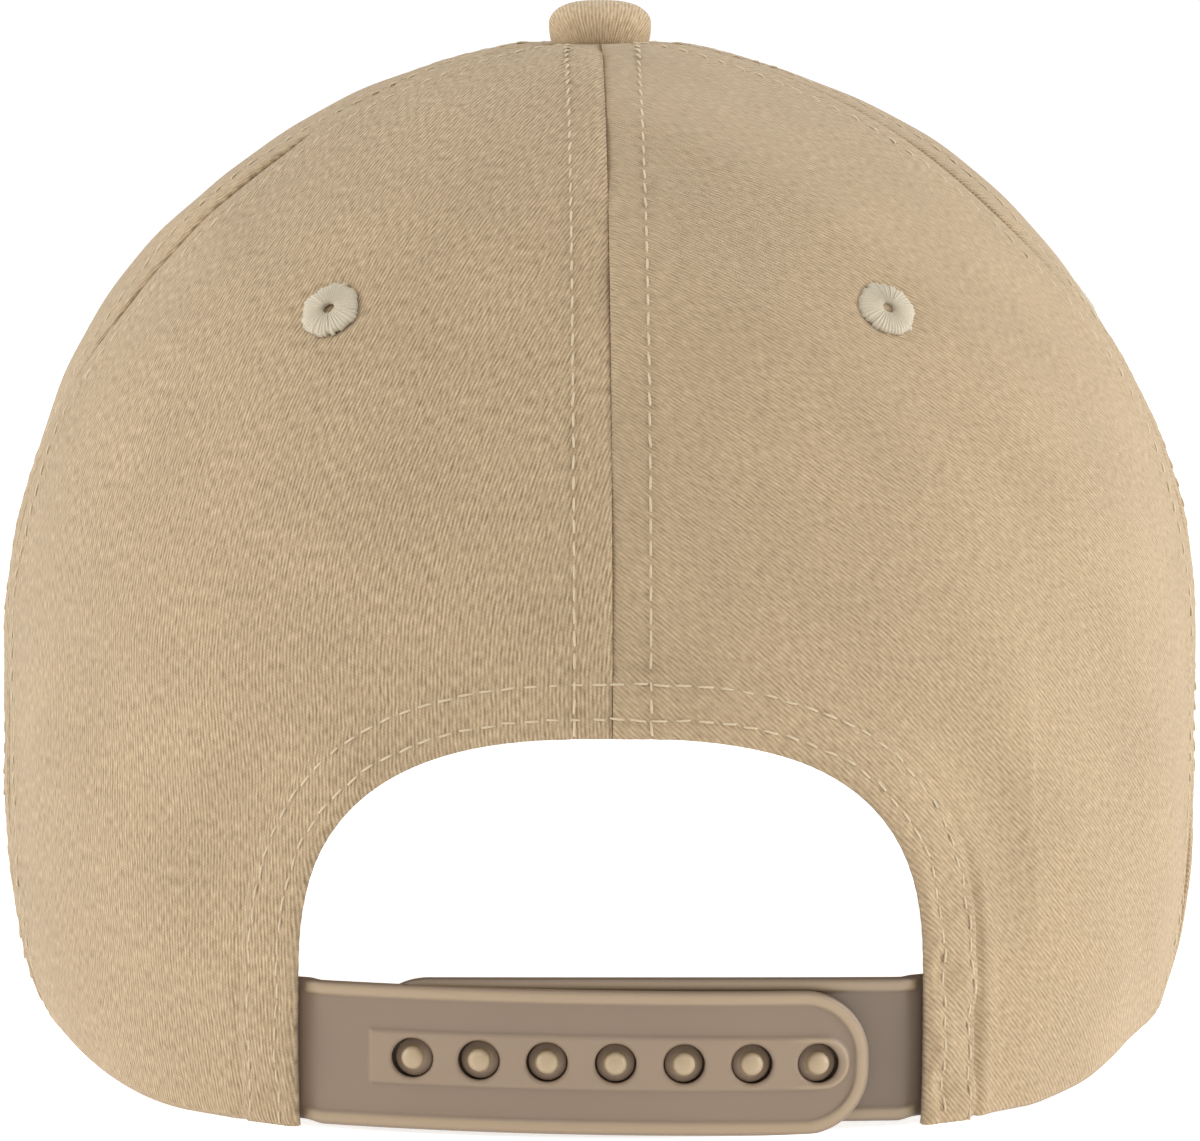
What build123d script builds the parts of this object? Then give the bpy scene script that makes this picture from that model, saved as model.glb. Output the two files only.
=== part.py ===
"""Six-panel snapback baseball cap: every cut fabric piece, board, strap and fitting as its own solid."""
from build123d import *
import math
import os

os.makedirs("parts", exist_ok=True)

# Driving dimensions, in millimetres and degrees.
# The model is drawn about the upright axis through the top button, with the visor
# towards +Y and the wearer's right at +X, then moved along Y as one object.
crown_half_width = 90.0      # side to side at the fullest height
crown_length_mean = 98.5     # half the length of the plan oval
crown_egg = 6.5              # how much the oval is blunter behind than in front
shoulder_height = 62.0       # height where the wall stops and the dome begins
dome_height = 90.0           # from the shoulder to the top of the crown
rear_fullness = 2.0          # 2 is a circle; more is a squarer shoulder
front_fullness = 2.6
tuck_height = 50.0           # the wall leans in below this height
tuck_rear = 0.04             # share of the radius lost at the lower edge, behind
tuck_side = 0.09             # the same, at the sides and in front
panel_top_radius = 2.0       # the panels stop at this circle below the button

fabric = 0.8                 # thickness of the cotton twill
buckram = 0.7                # stiff net that backs the two front panels
tape = 0.7                   # seam tape and arch binding
sweatband = 1.5
board = 2.0                  # moulded board inside the visor
seam_gap = 0.16              # between neighbouring panels
layer_gap = 0.12             # between layers that lie on each other

rear_seam_low = 80.0         # turn of the rear/side seam near the lower edge
rear_seam_top = 60.0
front_seam_low = 127.0       # turn of the side/front seam near the lower edge
front_seam_top = 120.0
seam_bend = 1.73

tape_half_width = 6.0
tape_end_radius = 4.2
tape_point = 0.4             # half width over radius where the tapes run together
sweatband_height = 32.0
sweatband_end = 34.0         # turn where the sweatband stops, beside the rear opening
sweatband_depth = 3.5

rim_level_turn = 45.0        # the lower edge is level to here, then climbs to the temples
rim_ease = 0.35              # how gently the climb begins

arch_half_width = 44.3
arch_leg = 22.0              # the sides of the rear opening are upright to this height
arch_height = 57.0
arch_power = 2.6
arch_band_width = 10.0

strap_low = 1.0
strap_width = 20.0
strap_thickness = 1.3
strap_radius = 106.0         # outer face of the strap with holes, at mid height
strap_step = 1.6             # from the outer face of one strap to that of the other
strap_lean = 0.14            # growth of the radius with height
strap_depth = 1.95           # from the outside of the fabric to the strap
hinge_x = 41.9               # where each strap flexes, beside the fabric edge
hinge_gap = 0.8              # clear length of strap each side of the flexing line
plain_root = 1.4             # the raised rim starts this far along the strap
tab_length = 15.0
snap_count = 7
snap_pitch = 9.6
snap_middle = 0.5
hole_radius = 2.9
peg_radius = 1.65
peg_height = 2.6
relief = 0.5                 # height of the raised rim and platform
rim_width = 1.8
platform_half_height = 3.75

visor_centre = 92.0          # middle of the visor's outline, ahead of the button
visor_half_width = 89.0
visor_half_length = 83.0
visor_power = 2.3
visor_reach = 115.0          # how far round the outline runs, from the tip to each temple
temple_turn = 120.0
visor_radius = 126.0         # sideways bend of the visor
visor_droop = 0.105          # fall per millimetre forwards
visor_inner_depth = 2.5      # the visor runs this far under the panels
visor_seam_margin = 3.0      # from the edge of the board to the edge of its covers

eyelet_radius = 4.3
eyelet_hole = 0.9
eyelet_thickness = 1.2

button_radius = 7.7
button_height = 6.0

top_height = shoulder_height + dome_height
rear_reach = crown_length_mean - crown_egg
front_reach = visor_centre + visor_half_length
axis_y = -(front_reach - rear_reach) / 2


def ease(value, low, high):
    share = min(1.0, max(0.0, (value - low) / (high - low)))
    return share * share * (3 - 2 * share)


def between(start, end, share):
    return start + (end - start) * share


# The outside of the crown. Turn is the angle about the button's axis, 0 behind,
# 90 at the wearer's right and 180 in front. Rise is the angle up the dome, and
# runs on below the shoulder as a straight wall.
def height_at(rise):
    return shoulder_height + dome_height * (math.sin(rise) if rise > 0 else rise)


def rise_at(height):
    share = (height - shoulder_height) / dome_height
    return math.asin(share) if share > 0 else share


def spread_at(turn, height):
    away = abs((turn + 180) % 360 - 180)
    fullness = between(rear_fullness, front_fullness, ease(away, 95, 180))
    share = max(0.0, (height - shoulder_height) / dome_height)
    tuck = between(tuck_rear, tuck_side, ease(away, 35, 70))
    lean = tuck * max(0.0, (tuck_height - height) / tuck_height) ** 3
    return math.sqrt(max(0.0, 1 - share ** fullness)) - lean


def crown_at(turn, height):
    angle = math.radians(turn)
    spread = spread_at(turn, height)
    along = -crown_length_mean * math.cos(angle) + crown_egg * math.cos(angle) ** 2
    return Vector(crown_half_width * spread * math.sin(angle), spread * along, height)


def crown_normal(turn, rise):
    step = 0.004
    low = min(rise, math.pi / 2 - 3 * step)
    across = crown_at(turn + 0.5, height_at(low)) - crown_at(turn - 0.5, height_at(low))
    up = crown_at(turn, height_at(low + step)) - crown_at(turn, height_at(low - step))
    return across.cross(up).normalized()


def layer_at(turn, rise, depth):
    return crown_at(turn, height_at(rise)) - crown_normal(turn, rise) * depth


def rear_turn(x, height, depth):
    """The turn at which a layer of the rear wall lies at this x and height."""
    aim = x
    for _ in range(3):
        turn = math.degrees(math.asin(aim / (crown_half_width * spread_at(30, height))))
        aim += x - layer_at(turn, rise_at(height), depth).X
    return turn


def rear_wall(x, height, depth):
    return layer_at(rear_turn(x, height, depth), rise_at(height), depth)


# The visor. Swing is the angle round its outline, 0 at the tip.
def visor_fall(x, y):
    return visor_radius - math.sqrt(visor_radius ** 2 - x * x) + visor_droop * (y - visor_centre)


def visor_edge(swing):
    angle = math.radians(swing)
    power = 2 / visor_power
    side = math.copysign(abs(math.sin(angle)) ** power, math.sin(angle))
    ahead = math.copysign(abs(math.cos(angle)) ** power, math.cos(angle))
    return visor_half_width * side, visor_centre + visor_half_length * ahead


visor_half_thickness = board / 2 + layer_gap + fabric
visor_edge_half_thickness = visor_half_thickness - board / 2
visor_lowest_fall = max(visor_fall(*visor_edge(swing)) for swing in range(0, 116))
visor_height = visor_lowest_fall + visor_edge_half_thickness


def visor_level(x, y):
    return visor_height - visor_fall(x, y)


def visor_at(swing, share, offset):
    """A point of the visor: share is 0 under the crown's edge and 1 at the outer edge."""
    turn = 180 - swing * (180 - temple_turn) / visor_reach
    inner = crown_at(turn, visor_height) - crown_normal(turn, rise_at(visor_height)) * visor_inner_depth
    edge_x, edge_y = visor_edge(swing)
    x = between(inner.X, edge_x, share)
    y = between(inner.Y, edge_y, share)
    return Vector(x, y, visor_level(x, y) + offset)


def front_rim(turn):
    """Just clear of the visor, all through the thickness of the panels and their backing."""
    foot = layer_at(turn, rise_at(visor_height), 2 * fabric)
    return visor_level(foot.X, foot.Y) + visor_half_thickness + layer_gap


def rim_height(turn):
    """Height of the crown's lower edge: level behind, rising to the temples, then along the visor."""
    away = abs((turn + 180) % 360 - 180)
    if away >= temple_turn:
        return front_rim(away)
    share = max(0.0, away - rim_level_turn) / (temple_turn - rim_level_turn)
    return front_rim(temple_turn) * share ** 2 * (1 + rim_ease) / (share + rim_ease)


# Seams, as turns that depend on the height.
def rear_seam(height):
    share = max(0.0, (height - shoulder_height) / dome_height)
    return rear_seam_low + (rear_seam_top - rear_seam_low) * share ** seam_bend


def front_seam(height):
    share = max(0.0, (height - shoulder_height) / dome_height)
    return front_seam_low + (front_seam_top - front_seam_low) * share


def back_middle(height):
    return 0.0


def front_middle(height):
    return 180.0


def closed_plate(outer, inner):
    """A solid between two grids of points, with ruled faces round its four sides."""
    faces = [Face.make_surface_from_array_of_points(outer, tol=0.02, min_deg=3, max_deg=5)]
    faces.append(Face.make_surface_from_array_of_points(inner, tol=0.02, min_deg=3, max_deg=5))
    for outer_edge, inner_edge in zip(faces[0].edges(), faces[1].edges()):
        faces.append(Face.make_surface_from_curves(outer_edge, inner_edge))
    return Solid(Shell(faces))


def steps(count):
    return [index / (count - 1) for index in range(count)]


def panel_grid(first_seam, last_seam, side, depth, columns, rows, low, high_radius, margin):
    """Points of one crown panel at a depth: columns run from seam to seam, rows from the edge up."""
    high = math.acos(high_radius / crown_half_width)
    grid = []
    for across in steps(columns):
        foot_turn = between(first_seam(0), last_seam(0), across)
        start = rise_at(low(foot_turn))
        column = []
        for up in steps(rows):
            rise = between(start, high, up)
            height = height_at(rise)
            radius = crown_half_width * spread_at(90, height)
            inset = math.degrees(margin / radius)
            turn = between(first_seam(height) + inset, last_seam(height) - inset, across)
            column.append(layer_at(side * turn, rise, depth))
        grid.append(column)
    return grid


def layer(first_seam, last_seam, side, depth, thickness, low=rim_height,
          high_radius=panel_top_radius, margin=seam_gap / 2):
    grids = []
    for level in (depth, depth + thickness):
        grids.append(panel_grid(first_seam, last_seam, side, level, 17, 19, low, high_radius, margin))
    return closed_plate(*grids)


def rear_foot(turn):
    """The rear panels are drawn a little long, and are then cut level at the floor."""
    return rim_height(turn) - 1.5 * (1 - ease(turn, 35, 75))


def arch_outline(share):
    """A point (x, height) round the rear opening, from the left foot (0) to the right foot (1)."""
    leg_share = 0.18
    if share < leg_share or share > 1 - leg_share:
        side = -1 if share < 0.5 else 1
        return side * arch_half_width, between(0.4, arch_leg, min(share, 1 - share) / leg_share)
    angle = math.pi * (1 - (share - leg_share) / (1 - 2 * leg_share))
    power = 2 / arch_power
    x = arch_half_width * math.copysign(abs(math.cos(angle)) ** power, math.cos(angle))
    return x, arch_leg + (arch_height - arch_leg) * abs(math.sin(angle)) ** power


def arch_cutter():
    start = Vector(-arch_half_width, -150, -5)
    top = []
    for share in steps(17):
        x, height = arch_outline(between(0.18, 0.82, share))
        top.append(Vector(x, -150, height))
    curve = Edge.make_spline(top)
    left_leg = Edge.make_line(start, top[0])
    right_leg = Edge.make_line(top[-1], Vector(arch_half_width, -150, -5))
    foot = Edge.make_line(Vector(arch_half_width, -150, -5), start)
    outline = Face(Wire([left_leg, curve, right_leg, foot]))
    return Solid.extrude(outline, Vector(0, 120, 0))


def eyelet_places():
    """Turn and height of each eyelet, in the middle of each panel."""
    return {"rear": (33.0, 115.0), "side": (98.0, 112.0), "front": (151.0, 112.0)}


def eyelet_plane(turn, height):
    normal = crown_normal(turn, rise_at(height))
    return Plane(origin=crown_at(turn, height), z_dir=normal)


def eyelet_ring(turn, height):
    sink = (eyelet_thickness + fabric) / 2
    flat = eyelet_plane(turn, height).offset(-sink)
    ring = extrude(flat * (Circle(eyelet_radius) - Circle(eyelet_hole)), eyelet_thickness)
    return fillet(ring.edges().filter_by(GeomType.CIRCLE), 0.3)


def eyelet_cutter(turn, height, radius):
    flat = eyelet_plane(turn, height).offset(-4)
    return extrude(flat * Circle(radius), 8)


def crown_panels(side):
    """The three outer fabric panels of one side."""
    places = eyelet_places()
    floor = Box(400, 400, 20, align=(Align.CENTER, Align.CENTER, Align.MAX))
    seams = {"rear": (back_middle, rear_seam), "side": (rear_seam, front_seam),
             "front": (front_seam, front_middle)}
    panels = {}
    for name, (first_seam, last_seam) in seams.items():
        low = rear_foot if name == "rear" else rim_height
        panel = layer(first_seam, last_seam, side, 0, fabric, low)
        turn, height = places[name]
        panel = panel - eyelet_cutter(side * turn, height, eyelet_radius + 0.1)
        if name == "rear":
            panel = panel - arch_cutter() - floor
        panels[name] = panel
    return panels


def front_backing(side):
    """The stiff net behind one front panel, a little smaller than the panel."""
    turn, height = eyelet_places()["front"]
    net = layer(front_seam, front_middle, side, fabric + layer_gap, buckram,
                lambda angle: rim_height(angle) + 1.0, 9.0, 0.5)
    return net - eyelet_cutter(side * turn, height, eyelet_radius + 0.4)


def seam_tape(seam, side, depth, low):
    """A tape over the inside of one seam, narrowing where the six tapes meet under the button."""
    high = math.acos(tape_end_radius / crown_half_width)
    start = rise_at(low)
    grids = []
    for level in (depth, depth + tape):
        grid = []
        for across in steps(4):
            column = []
            for up in steps(19):
                rise = between(start, high, up)
                height = height_at(rise)
                radius = crown_half_width * spread_at(90, height)
                half = tape_half_width * radius / math.hypot(radius, tape_half_width / tape_point)
                turn = seam(height) + math.degrees((2 * across - 1) * half / radius)
                column.append(layer_at(side * turn, rise, level))
            grid.append(column)
        grids.append(grid)
    return closed_plate(*grids)


def arch_band():
    """The binding inside the edge of the rear opening, from one foot over the top to the other."""
    grids = []
    for depth in (fabric + layer_gap, fabric + layer_gap + tape):
        grid = []
        for along in steps(49):
            x, height = arch_outline(along)
            before = arch_outline(max(0.0, along - 0.005))
            after = arch_outline(min(1.0, along + 0.005))
            run = math.hypot(after[0] - before[0], after[1] - before[1])
            out_x = -(after[1] - before[1]) / run
            out_z = (after[0] - before[0]) / run
            column = []
            for across in steps(4):
                reach = between(0.2, arch_band_width, across)
                column.append(rear_wall(x + out_x * reach, height + out_z * reach, depth))
            grid.append(column)
        grids.append(grid)
    return closed_plate(*grids)


def sweatband_strip():
    """The band inside the lower edge, from one side of the rear opening round to the other."""
    grids = []
    for depth in (sweatband_depth, sweatband_depth + sweatband):
        grid = []
        for along in steps(61):
            turn = between(sweatband_end, 360 - sweatband_end, along)
            away = abs((turn + 180) % 360 - 180)
            foot = rim_height(turn) + 0.8 - 4.2 * ease(away, temple_turn - 12, temple_turn + 6)
            column = []
            for up in steps(5):
                height = foot + sweatband_height * up
                column.append(layer_at(turn, rise_at(height), depth))
            grid.append(column)
        grids.append(grid)
    return closed_plate(*grids)


def visor_layer(offset_low, offset_high, share_start, margin, pinch):
    """A layer of the visor. With pinch, it closes towards the middle surface beyond the board."""
    grids = []
    for offset in (offset_high, offset_low):
        grid = []
        for along in steps(45):
            swing = between(-visor_reach, visor_reach, along)
            inner = visor_at(swing, 0, 0)
            outer = visor_at(swing, 1, 0)
            width = math.hypot(outer.X - inner.X, outer.Y - inner.Y)
            edge = 1 - margin / width
            bend = max(0.4, 1 - (visor_seam_margin - 0.6) / width)
            column = []
            for across in steps(19):
                share = edge - (edge - share_start) * (1 - across) ** 1.8
                drop = pinch * ease(share, bend, 1.0) * (board / 2)
                column.append(visor_at(swing, share, offset - math.copysign(drop, offset)))
            grid.append(column)
        grids.append(grid)
    return closed_plate(*grids)


# Straps: rings about one upright axis, cut to outline in the rear view.
wall_point = rear_wall(hinge_x, strap_low + strap_width / 2, strap_depth)
peg_strap_radius = strap_radius - strap_step
strap_axis_x = (strap_radius ** 2 - peg_strap_radius ** 2) / (4 * hinge_x)
strap_axis_y = wall_point.Y + math.sqrt(strap_radius ** 2 - (hinge_x + strap_axis_x) ** 2)
strap_middle = strap_low + strap_width / 2


def strap_ring(inner, outer):
    """A full leaning ring, its radii measured at the straps' middle height."""
    low, high = strap_low - 3, strap_low + strap_width + 3
    fall, climb = strap_lean * (low - strap_middle), strap_lean * (high - strap_middle)
    section = Polyline((inner + fall, 0, low), (outer + fall, 0, low), (outer + climb, 0, high),
                       (inner + climb, 0, high), close=True)
    ring = revolve(Face(Wire(section.edges())), Axis.Z, 360)
    return ring.moved(Location((strap_axis_x, strap_axis_y, 0)))


def rear_view(sketch):
    """A flat outline, drawn in X and height, pushed through the rear of the cap."""
    return extrude(Plane(origin=(0, -60, 0), x_dir=(1, 0, 0), z_dir=(0, -1, 0)) * sketch, 60)


def strap_outline(start, tip, low, high, corner):
    """A bar from its flat start to its round tip, which may lie either way."""
    middle = (low + high) / 2
    bar = Pos((start + tip) / 2, middle) * Rectangle(abs(tip - start), high - low)
    ends = [vertex for vertex in bar.vertices() if abs(vertex.X - tip) < 0.01]
    return fillet(ends, corner)


def snap_places():
    """Points of the strap's outer face on the snap line, from left to right."""
    middle_angle = math.asin((snap_middle - strap_axis_x) / strap_radius)
    places = []
    for index in range(snap_count):
        angle = middle_angle + (index - (snap_count - 1) / 2) * snap_pitch / strap_radius
        places.append(angle)
    return places


def snap_plane(angle, radius):
    outward = Vector(math.sin(angle), -math.cos(angle), 0)
    foot = Vector(strap_axis_x, strap_axis_y, strap_middle) + outward * radius
    return Plane(origin=foot, z_dir=outward)


def hole_strap():
    high = strap_low + strap_width
    start, tip = -hinge_x + hinge_gap, 36.2
    outline = strap_outline(start, tip, strap_low, high, 9.4)
    middle = strap_outline(start - 1, tip - rim_width, strap_low + rim_width, high - rim_width, 7.6)
    root = Pos(start, strap_middle) * Rectangle(2 * plain_root, 2 * strap_width)
    low, top = strap_middle - platform_half_height, strap_middle + platform_half_height
    platform = strap_outline(-33.9, 33.4, low, top, platform_half_height - 0.05)
    plate = strap_ring(strap_radius - strap_thickness, strap_radius) & rear_view(outline)
    raised = strap_ring(strap_radius - 0.2, strap_radius + relief)
    raised = raised & rear_view((outline - middle - root) + platform)
    strap = plate + raised
    for angle in snap_places():
        strap = strap - extrude(snap_plane(angle, strap_radius - 4) * Circle(hole_radius), 8)
    return strap


def peg_strap():
    high = strap_low + strap_width
    outline = strap_outline(hinge_x - hinge_gap, -35.0, strap_low + 0.4, high + 0.4, 9.4)
    strap = strap_ring(peg_strap_radius - strap_thickness, peg_strap_radius) & rear_view(outline)
    for angle in snap_places():
        peg = extrude(snap_plane(angle, peg_strap_radius - 0.4) * Circle(peg_radius), peg_height + 0.4)
        outer_rim = peg.edges().filter_by(GeomType.CIRCLE).sort_by_distance(Vector(0, -500, strap_middle))[0]
        strap = strap + fillet(outer_rim, 1.0)
    return strap


def strap_tab(side, rise_low):
    """The end of a strap that is sewn in between the rear panel and the sweatband."""
    start = rear_turn(hinge_x + hinge_gap, strap_middle, strap_depth + strap_thickness)
    end = start + math.degrees(tab_length / crown_half_width)
    grids = []
    for depth in (strap_depth, strap_depth + strap_thickness - 0.2):
        grid = []
        for along in steps(7):
            turn = side * between(start, end, along)
            column = []
            for up in steps(4):
                height = strap_low + rise_low + strap_width * up
                column.append(layer_at(turn, rise_at(height), depth))
            grid.append(column)
        grids.append(grid)
    return closed_plate(*grids)


def button_half_section(outer_radius, outer_top, inner_radius, inner_top, low):
    """Half of a domed shell about the button's axis, revolved whole."""
    rows = []
    for radius, top in ((outer_radius, outer_top), (inner_radius, inner_top)):
        rise = top - low
        points = []
        for part in steps(7):
            angle = part * math.pi / 2
            points.append((radius * math.cos(angle), 0, low + rise * math.sin(angle)))
        rows.append(Edge.make_spline(points))
    crest = Edge.make_line((0, 0, outer_top), (0, 0, inner_top))
    foot = Edge.make_line((inner_radius, 0, low), (outer_radius, 0, low))
    return revolve(Face(Wire([rows[0], crest, rows[1], foot])), Axis.Z, 360)


def button_parts():
    low = top_height - 0.05
    top = top_height + button_height
    cover = button_half_section(button_radius, top, button_radius - 0.6, top - 0.6, low)
    shell = button_half_section(button_radius - 0.7, top - 0.7, button_radius - 1.4, top - 1.4, low)
    disc = Pos(0, 0, top_height + 0.8) * Cylinder(5.6, 0.8)
    stem = Pos(0, 0, top_height - 1.6) * Cylinder(1.4, 5.0)
    backing = Pos(0, 0, top_height - 3.4) * (Cylinder(6.5, 0.8) - Cylinder(1.5, 0.8))
    backing = fillet(backing.edges().group_by(Axis.Z)[0].sort_by(SortBy.LENGTH)[-1], 0.3)
    return {"button_cover": cover, "button_shell": shell, "button_stud": disc + stem,
            "button_backing": backing}


def keep(name, shape):
    export_step(shape.moved(Location((0, axis_y, 0))), "parts/" + name + ".step")


def main():
    for word, side in (("left", -1), ("right", 1)):
        for name, panel in crown_panels(side).items():
            keep(name + "_panel_" + word, panel)
        keep("front_buckram_" + word, front_backing(side))
        for name, (turn, height) in eyelet_places().items():
            keep(name + "_eyelet_" + word, eyelet_ring(side * turn, height))
        keep("rear_seam_tape_" + word, seam_tape(rear_seam, side, 0.95, 20.0))
        keep("front_seam_tape_" + word, seam_tape(front_seam, side, 1.75, 40.0))
    keep("back_seam_tape", seam_tape(back_middle, 1, 0.95, arch_height + arch_band_width + 1))
    keep("centre_seam_tape", seam_tape(front_middle, 1, 1.75, 50.0))
    keep("arch_band", arch_band())
    keep("sweatband", sweatband_strip())
    cover_low = board / 2 + layer_gap
    cover_high = cover_low + fabric
    keep("visor_board", visor_layer(-board / 2, board / 2, 0.0, visor_seam_margin, 0.0))
    keep("visor_top_cover", visor_layer(cover_low, cover_high, 0.0, 0.0, 1.0))
    keep("visor_under_cover", visor_layer(-cover_high, -cover_low, 0.0, 0.0, 1.0))
    keep("hole_strap", hole_strap())
    keep("peg_strap", peg_strap())
    keep("hole_strap_tab", strap_tab(-1, 0.0))
    keep("peg_strap_tab", strap_tab(1, 0.4))
    for name, shape in button_parts().items():
        keep(name, shape)


main()
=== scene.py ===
import math

import bpy
import numpy as np
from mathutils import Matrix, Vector


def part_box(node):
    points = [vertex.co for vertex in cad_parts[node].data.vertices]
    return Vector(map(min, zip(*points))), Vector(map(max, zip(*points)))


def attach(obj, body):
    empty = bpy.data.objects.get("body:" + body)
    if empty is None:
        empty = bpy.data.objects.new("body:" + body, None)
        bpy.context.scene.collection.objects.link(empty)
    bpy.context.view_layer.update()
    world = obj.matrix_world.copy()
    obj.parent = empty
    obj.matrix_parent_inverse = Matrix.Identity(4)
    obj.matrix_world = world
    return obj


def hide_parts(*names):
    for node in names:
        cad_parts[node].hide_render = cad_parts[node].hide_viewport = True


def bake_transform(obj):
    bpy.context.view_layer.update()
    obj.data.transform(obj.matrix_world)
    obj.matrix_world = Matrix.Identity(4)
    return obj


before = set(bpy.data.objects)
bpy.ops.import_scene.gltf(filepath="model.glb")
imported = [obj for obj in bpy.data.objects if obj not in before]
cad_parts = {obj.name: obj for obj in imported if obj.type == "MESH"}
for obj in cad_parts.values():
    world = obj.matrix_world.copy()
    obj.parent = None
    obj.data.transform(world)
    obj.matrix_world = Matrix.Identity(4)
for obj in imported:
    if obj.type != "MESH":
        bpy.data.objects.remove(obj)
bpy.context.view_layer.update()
scene = bpy.context.scene
print("frame loaded:", len(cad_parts), "CAD nodes")

# Lengths below are in millimetres about the upright axis through the button;
# makeMesh turns them into metres in the frame.
mm = 0.001
buttonLow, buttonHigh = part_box("button_cover")
axisY = (buttonLow.y + buttonHigh.y) / 2

crown = {
    "halfWidth": 90.0,
    "lengthMean": 98.5,      # half the plan oval's length
    "egg": 6.5,              # blunter behind than in front
    "shoulder": 62.0,
    "dome": 90.0,
    "frontFullness": 2.6,
    "tuckHeight": 50.0,      # the wall leans in below this
    "tuckRear": 0.04,
    "tuckSide": 0.09,
    "topRadius": 2.1,
    "rimLevelTurn": 45.0,
    "rimEase": 0.35,
}
cloth = {"thickness": 0.8, "seamGap": 0.03}


def ease(value, low, high):
    share = np.clip((value - low) / (high - low), 0, 1)
    return share * share * (3 - 2 * share)


def bell(value, centre, width):
    return np.exp(-(((value - centre) / width) ** 2))


def ripple(a, b, seed, lengths, amount):
    # a sum of plane waves in random directions, one for each wavelength
    rng = np.random.default_rng(seed)
    total = 0
    for length in lengths:
        angle, phase = rng.uniform(0, 2 * math.pi, 2)
        total = total + np.sin(2 * math.pi * (a * math.cos(angle) + b * math.sin(angle)) / length + phase)
    return amount * total / math.sqrt(len(lengths))


# the crown's form, in turn (degrees round from behind) and rise (radians up the dome)

def heightAt(rise):
    # a straight wall below the shoulder and a sine above it
    return crown["shoulder"] + crown["dome"] * np.where(rise > 0, np.sin(np.maximum(rise, 0)), rise)


def riseAt(height):
    share = (np.asarray(height, float) - crown["shoulder"]) / crown["dome"]
    return np.where(share > 0, np.arcsin(np.clip(share, 0, 1)), share)


def awayFromRear(turn):
    return np.abs((np.asarray(turn, float) + 180) % 360 - 180)


def spreadAt(turn, height):
    # square root of one less the height's share to the power of the fullness, less the tuck at the foot
    away = awayFromRear(turn)
    fullness = 2 + (crown["frontFullness"] - 2) * ease(away, 95, 180)
    share = np.clip((height - crown["shoulder"]) / crown["dome"], 0, 1)
    tuck = crown["tuckRear"] + (crown["tuckSide"] - crown["tuckRear"]) * ease(away, 35, 70)
    lean = tuck * np.clip((crown["tuckHeight"] - height) / crown["tuckHeight"], 0, None) ** 3
    return np.sqrt(np.clip(1 - share ** fullness, 0, 1)) - lean


def crownAt(turn, height):
    # an egg-shaped oval, scaled by the spread at each height
    angle = np.radians(turn)
    spread = spreadAt(turn, height)
    x = crown["halfWidth"] * np.sin(angle)
    y = -crown["lengthMean"] * np.cos(angle) + crown["egg"] * np.cos(angle) ** 2
    return np.stack(np.broadcast_arrays(spread * x, spread * y, height), -1)


def unit(vectors):
    return vectors / np.maximum(np.linalg.norm(vectors, axis=-1, keepdims=True), 1e-9)


def crownNormal(turn, rise):
    low = np.minimum(rise, math.pi / 2 - 0.012)
    across = crownAt(turn + 0.5, heightAt(low)) - crownAt(turn - 0.5, heightAt(low))
    up = crownAt(turn, heightAt(low + 0.004)) - crownAt(turn, heightAt(low - 0.004))
    return unit(np.cross(across, up))


def layerAt(turn, rise, depth):
    depth = np.asarray(depth, float)[..., None]
    return crownAt(turn, heightAt(rise)) - crownNormal(turn, rise) * depth


def rearTurn(x, height, depth=0.0):
    # the turn at which the rear wall has this x, put right for the layer's depth
    aim = np.asarray(x, float)
    turn = 0
    for _ in range(3):
        turn = np.degrees(np.arcsin(np.clip(aim / (crown["halfWidth"] * spreadAt(30, height)), -1, 1)))
        aim = aim + x - layerAt(turn, riseAt(height), depth)[..., 0]
    return turn


# the visor's form

visor = {
    "centre": 92.0,
    "halfWidth": 89.0,
    "halfLength": 83.0,
    "power": 2.3,
    "reach": 115.0,
    "spare": 2.2,
    "templeTurn": 120.0,
    "radius": 126.0,
    "droop": 0.105,
    "innerDepth": 2.5,
    "halfBoard": 1.0,
    "coverGap": 0.12,
    "edgeRound": 2.4,
    "rowFirst": 4.6,         # first stitched row, in from the edge
    "rowStep": 6.6,
    "rows": 8,
}
visor["halfThickness"] = visor["halfBoard"] + visor["coverGap"] + cloth["thickness"]


def visorFall(x, y):
    # a sideways arc, plus a steady droop forwards
    return visor["radius"] - np.sqrt(visor["radius"] ** 2 - x * x) + visor["droop"] * (y - visor["centre"])


def visorEdge(swing):
    # a superellipse, with the swing measured round from the tip
    angle = np.radians(swing)
    power = 2 / visor["power"]
    x = visor["halfWidth"] * np.sign(np.sin(angle)) * np.abs(np.sin(angle)) ** power
    y = visor["centre"] + visor["halfLength"] * np.sign(np.cos(angle)) * np.abs(np.cos(angle)) ** power
    return x, y


lowestEdge = float(visorFall(*visorEdge(np.arange(0, 116.0))).max())
visor["height"] = lowestEdge + visor["coverGap"] + cloth["thickness"]


def visorLevel(x, y):
    return visor["height"] - visorFall(x, y)


def visorAt(swing, share, offset):
    # straight from the crown's foot to the outline, at the height of the visor's own bend
    turn = 180 - swing * (180 - visor["templeTurn"]) / visor["reach"]
    inner = layerAt(turn, riseAt(visor["height"]), visor["innerDepth"])
    edgeX, edgeY = visorEdge(swing)
    x = inner[..., 0] + (edgeX - inner[..., 0]) * share
    y = inner[..., 1] + (edgeY - inner[..., 1]) * share
    return np.stack(np.broadcast_arrays(x, y, visorLevel(x, y) + offset), -1)


def frontRim(turn):
    foot = layerAt(turn, riseAt(visor["height"]), 2 * cloth["thickness"])
    return visorLevel(foot[..., 0], foot[..., 1]) + visor["halfThickness"] + visor["coverGap"]


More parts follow.
